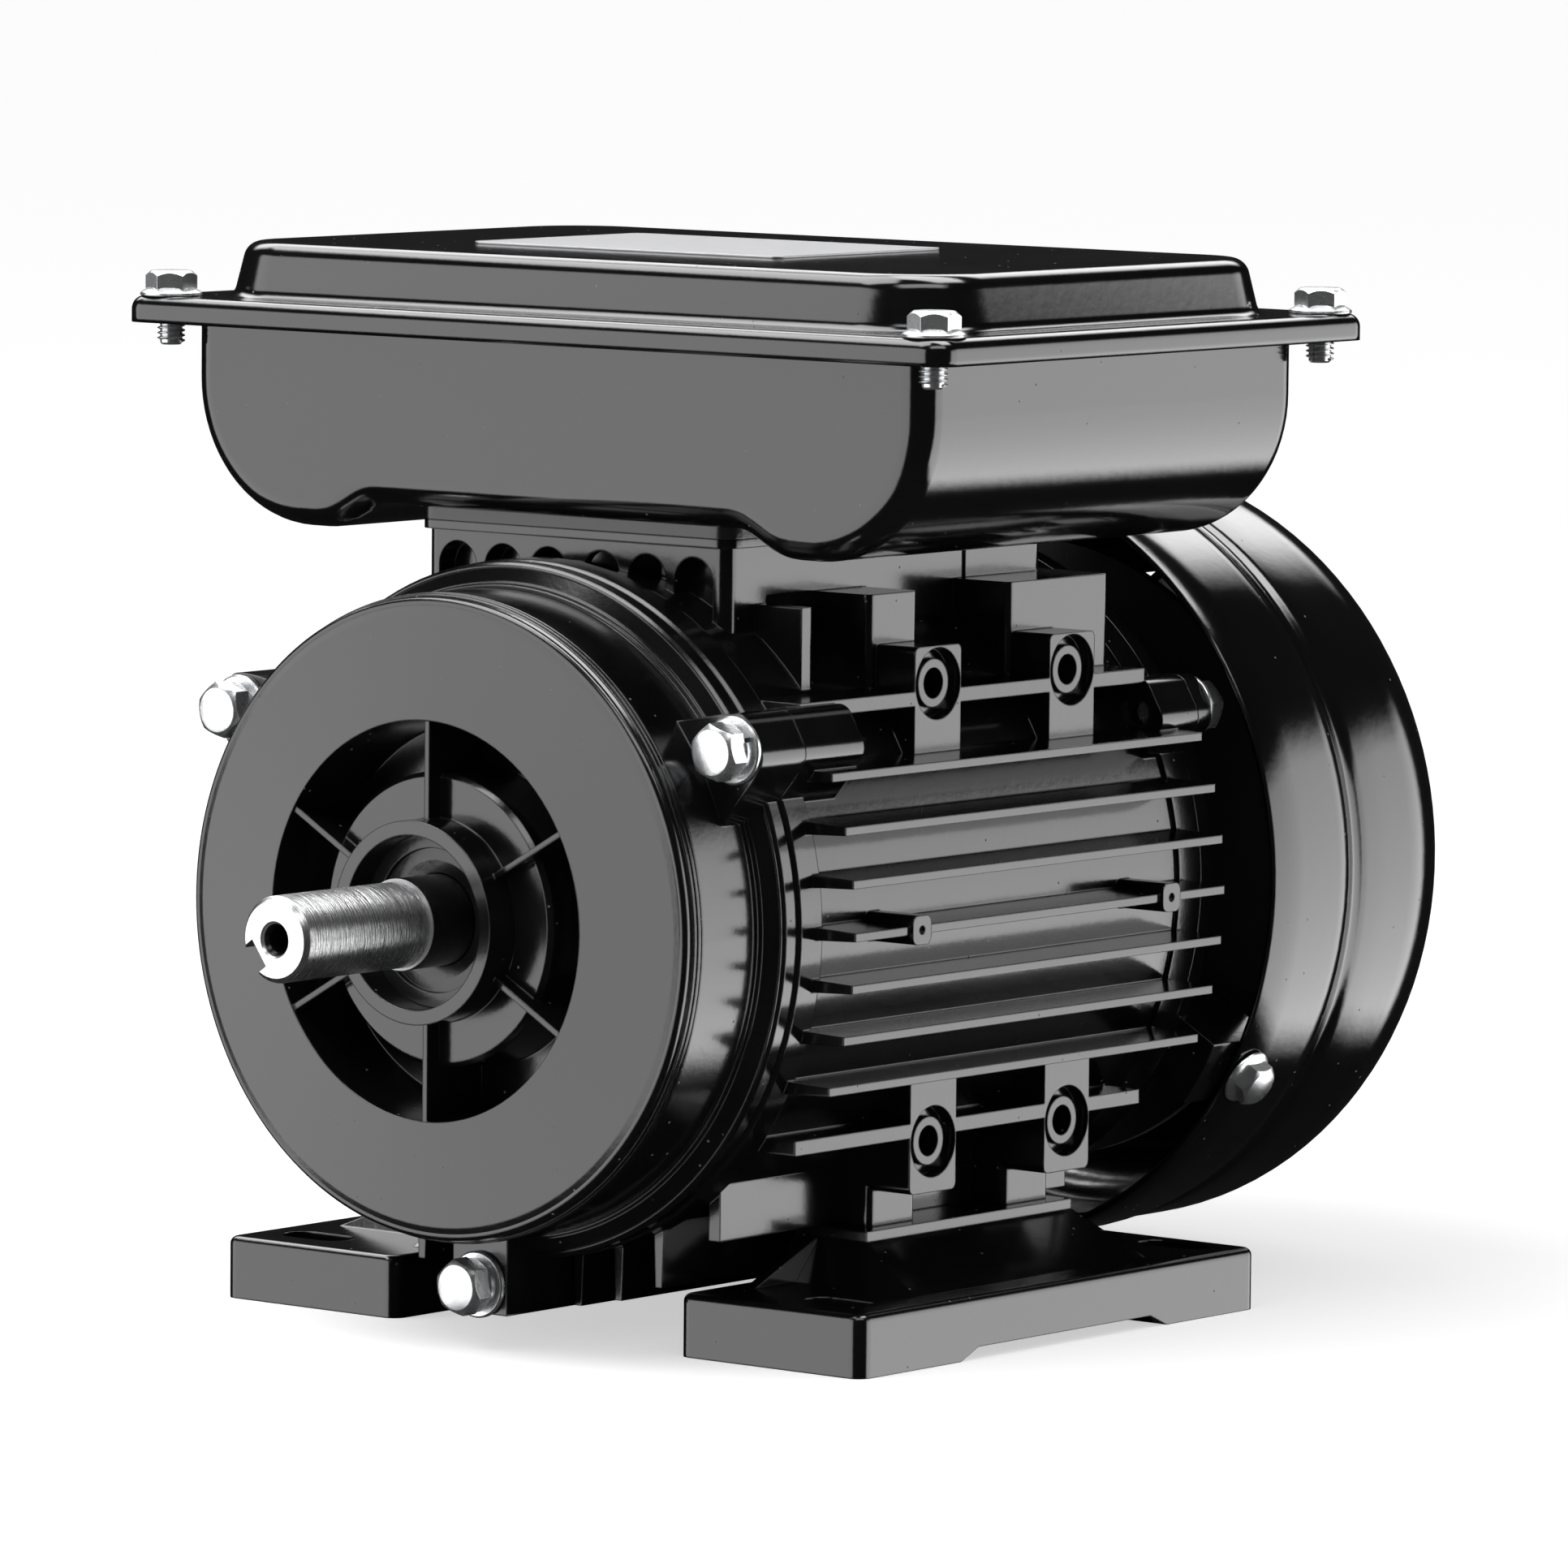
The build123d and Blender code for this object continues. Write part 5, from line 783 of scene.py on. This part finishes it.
@dataclass
class Studio:
    """Camera, floor, lamps and the pale cards that the gloss reflects."""

    eye: Vector = field(default_factory=lambda: Vector((1140.565, -1412.810, 266.580)) * MM)
    right: Vector = field(default_factory=lambda: Vector((0.77940, 0.62645, 0.00956)))
    up: Vector = field(default_factory=lambda: Vector((-0.06894, 0.07057, 0.99512)))
    back: Vector = field(default_factory=lambda: Vector((0.62272, -0.77626, 0.09819)))
    lens: float = 250.55
    target: Vector = field(default_factory=lambda: Vector((0.0, 0.010, 0.087)))
    floor_lift: float = 0.56
    floor_radius: float = 30.0
    reach: float = 2.2
    lamp_reach: float = 1.6
    shade_size: tuple[float, float] = (0.130, 0.112)
    shade_drop: float = 0.0004

    def camera(self) -> None:
        """Camera at the photograph's angle."""
        data = bpy.data.cameras.new("camera")
        data.lens = self.lens
        data.sensor_width = 36.0
        data.clip_start = 0.05
        data.clip_end = 50.0
        made = bpy.data.objects.new("camera", data)
        turn = Matrix((self.right, self.up, self.back)).transposed().to_4x4()
        made.matrix_world = Matrix.Translation(self.eye) @ turn
        bpy.context.scene.collection.objects.link(made)
        bpy.context.scene.camera = made

    def _glow(self, name: str, low: float, high: float, fade: tuple[float, float]) -> bpy.types.Material:
        """Emission that fades out towards the sides of a card.

        Args:
            name: name of the material.
            low: radiance at the lower end.
            high: radiance at the upper end.
            fade: share of the width and of the height over which each end fades.

        Returns:
            The material.
        """
        made = bpy.data.materials.new(name)
        made.use_nodes = True
        graph = Graph(made.node_tree)
        place = graph.node("ShaderNodeTexCoord", output="UV")
        level = 1.0
        for axis, share in zip("XY", fade):
            along = graph.node("ShaderNodeSeparateXYZ", {}, {"Vector": place}, axis)
            level = level * along.step(0.0, share) * (1.0 - along).step(0.0, share)
        # The loop ends with the height, along which the radiance goes from low to high
        light = graph.node("ShaderNodeEmission", {}, {"Strength": level * (along * (high - low) + low)})
        graph.node("ShaderNodeOutputMaterial", {}, {"Surface": light})
        return made

    def _way(self, bearing: float, rise: float) -> Vector:
        """Direction from a bearing and a rise in degrees."""
        a, e = math.radians(bearing), math.radians(rise)
        return Vector((math.cos(a) * math.cos(e), math.sin(a) * math.cos(e), math.sin(e)))

    def _sheet(self, name: str, size: tuple[float, float], place: Matrix, paint: bpy.types.Material) -> None:
        """A flat sheet that only reflections see.

        Args:
            name: name of the sheet.
            size: its width and height in metres.
            place: where it stands.
            paint: its material.
        """
        mesh = bmesh.new()
        mesh.loops.layers.uv.new("UVMap")
        bmesh.ops.create_grid(mesh, x_segments=1, y_segments=1, size=0.5, calc_uvs=True)
        bmesh.ops.scale(mesh, vec=(*size, 1.0), verts=mesh.verts[:])
        bmesh.ops.transform(mesh, matrix=place, verts=mesh.verts[:])
        data = bpy.data.meshes.new(name)
        mesh.to_mesh(data)
        mesh.free()
        data.materials.append(paint)
        made = bpy.data.objects.new(name, data)
        bpy.context.scene.collection.objects.link(made)
        made.visible_camera = False
        made.visible_diffuse = False
        made.visible_shadow = False

    def card(self, name: str, bearing: float, rise: float, span: tuple[float, float],
             low: float, high: float, fade: tuple[float, float] = (0.15, 0.15)) -> None:
        """A card that only reflections see.

        Args:
            name: name of the card.
            bearing: compass angle of its middle, in degrees from +X towards +Y.
            rise: angle of its middle above the horizon, in degrees.
            span: angles of its width and height as the object sees them, in degrees.
            low: radiance at its lower end.
            high: radiance at its upper end.
            fade: share of the width and of the height over which each end fades.
        """
        way = self._way(bearing, rise)
        wide, tall = (2 * self.reach * math.tan(math.radians(angle / 2)) for angle in span)
        turn = (-way).to_track_quat("Z", "Y").to_matrix().to_4x4()
        place = Matrix.Translation(self.target + way * self.reach) @ turn
        self._sheet(name, (wide, tall), place, self._glow(name + "_glow", low, high, fade))

    def shade(self) -> None:
        """Dark sheet under the feet that only reflections see, as the shadow there would be."""
        dark = self._glow("shade_dark", 0.0, 0.0, (0.1, 0.1))
        self._sheet("shade", self.shade_size, Matrix.Translation((0.0, 0.0, -self.shade_drop)), dark)

    def floor(self) -> None:
        """Plain pale floor that the gloss does not mirror."""
        mesh = bmesh.new()
        bmesh.ops.create_circle(mesh, cap_ends=True, segments=64, radius=self.floor_radius)
        data = bpy.data.meshes.new("floor")
        mesh.to_mesh(data)
        mesh.free()
        made = bpy.data.objects.new("floor", data)
        paper = bpy.data.materials.new("pale_floor")
        paper.use_nodes = True
        graph = Graph(paper.node_tree)
        seen = graph.node("ShaderNodeLightPath", output="Is Camera Ray")
        diffuse = graph.node("ShaderNodeBsdfDiffuse", {}, {"Color": (0.93, 0.93, 0.93, 1.0)})
        lift = graph.node("ShaderNodeEmission", {}, {"Strength": seen * self.floor_lift})
        both = graph.node("ShaderNodeAddShader", {}, {0: diffuse, 1: lift})
        graph.node("ShaderNodeOutputMaterial", {}, {"Surface": both})
        data.materials.append(paper)
        made.visible_glossy = False
        bpy.context.scene.collection.objects.link(made)

    def world(self, white: float, ambient: float, gloss: float) -> None:
        """White background with a softer level for the light itself.

        Args:
            white: level that the camera sees.
            ambient: level that lights the object.
            gloss: level that reflections see.
        """
        made = bpy.data.worlds.new("studio")
        made.use_nodes = True
        graph = Graph(made.node_tree)
        camera = graph.node("ShaderNodeLightPath", output="Is Camera Ray")
        glossy = graph.node("ShaderNodeLightPath", output="Is Glossy Ray")
        level = camera * (white - ambient) + glossy * (gloss - ambient) + ambient
        sky = graph.node("ShaderNodeBackground", {}, {"Strength": level})
        graph.node("ShaderNodeOutputWorld", {}, {"Surface": sky})
        bpy.context.scene.world = made

    def lamp(self, name: str, bearing: float, rise: float, size: float, power: float) -> None:
        """Soft square lamp that points at the object."""
        data = bpy.data.lights.new(name, "AREA")
        data.size = size
        data.energy = power
        way = self._way(bearing, rise)
        made = bpy.data.objects.new(name, data)
        turn = way.to_track_quat("Z", "Y").to_matrix().to_4x4()
        made.matrix_world = Matrix.Translation(self.target + way * self.lamp_reach) @ turn
        made.visible_glossy = False
        bpy.context.scene.collection.objects.link(made)

    def build(self) -> None:
        """Set up the whole studio."""
        self.camera()
        self.floor()
        self.world(white=1.0, ambient=0.55, gloss=0.015)
        self.lamp("key", 250.0, 60.0, 1.2, 12.0)
        self.card("front_card", 234.0, 0.0, (72.0, 58.0), 2.1, 2.1, (0.12, 0.05))
        self.card("side_card", 44.0, -8.0, (72.0, 59.0), 4.1, 2.1)
        self.card("high_card", 132.0, 40.0, (75.0, 32.0), 4.2, 4.6, (0.2, 0.3))
        self.card("crown_card", 320.0, 50.0, (60.0, 24.0), 3.0, 3.0, (0.2, 0.2))
        self.card("zenith_card", 90.0, 76.0, (64.0, 36.0), 7.0, 7.0, (0.2, 0.2))
        self.card("top_card", 200.0, 64.0, (60.0, 40.0), 5.0, 5.0)
        self.shade()


def main() -> None:
    """Build the studio, dress the solids and add the detailed pieces."""
    logging.basicConfig(level=logging.INFO, format="%(name)s: %(message)s")
    bpy.context.scene.view_settings.view_transform = "Standard"
    Studio().build()
    dress_nodes()
    make_fasteners()
    make_washers("front_washers", FRONT_LUG_Y, FRONT_TIE_RADIUS, -1)
    make_washers("rear_washers", REAR_LUG_Y, REAR_TIE_RADIUS, 1)
    make_neck_ridges()
    PressedLid().build()
    FanCover().build()


if __name__ == "__main__":
    main()
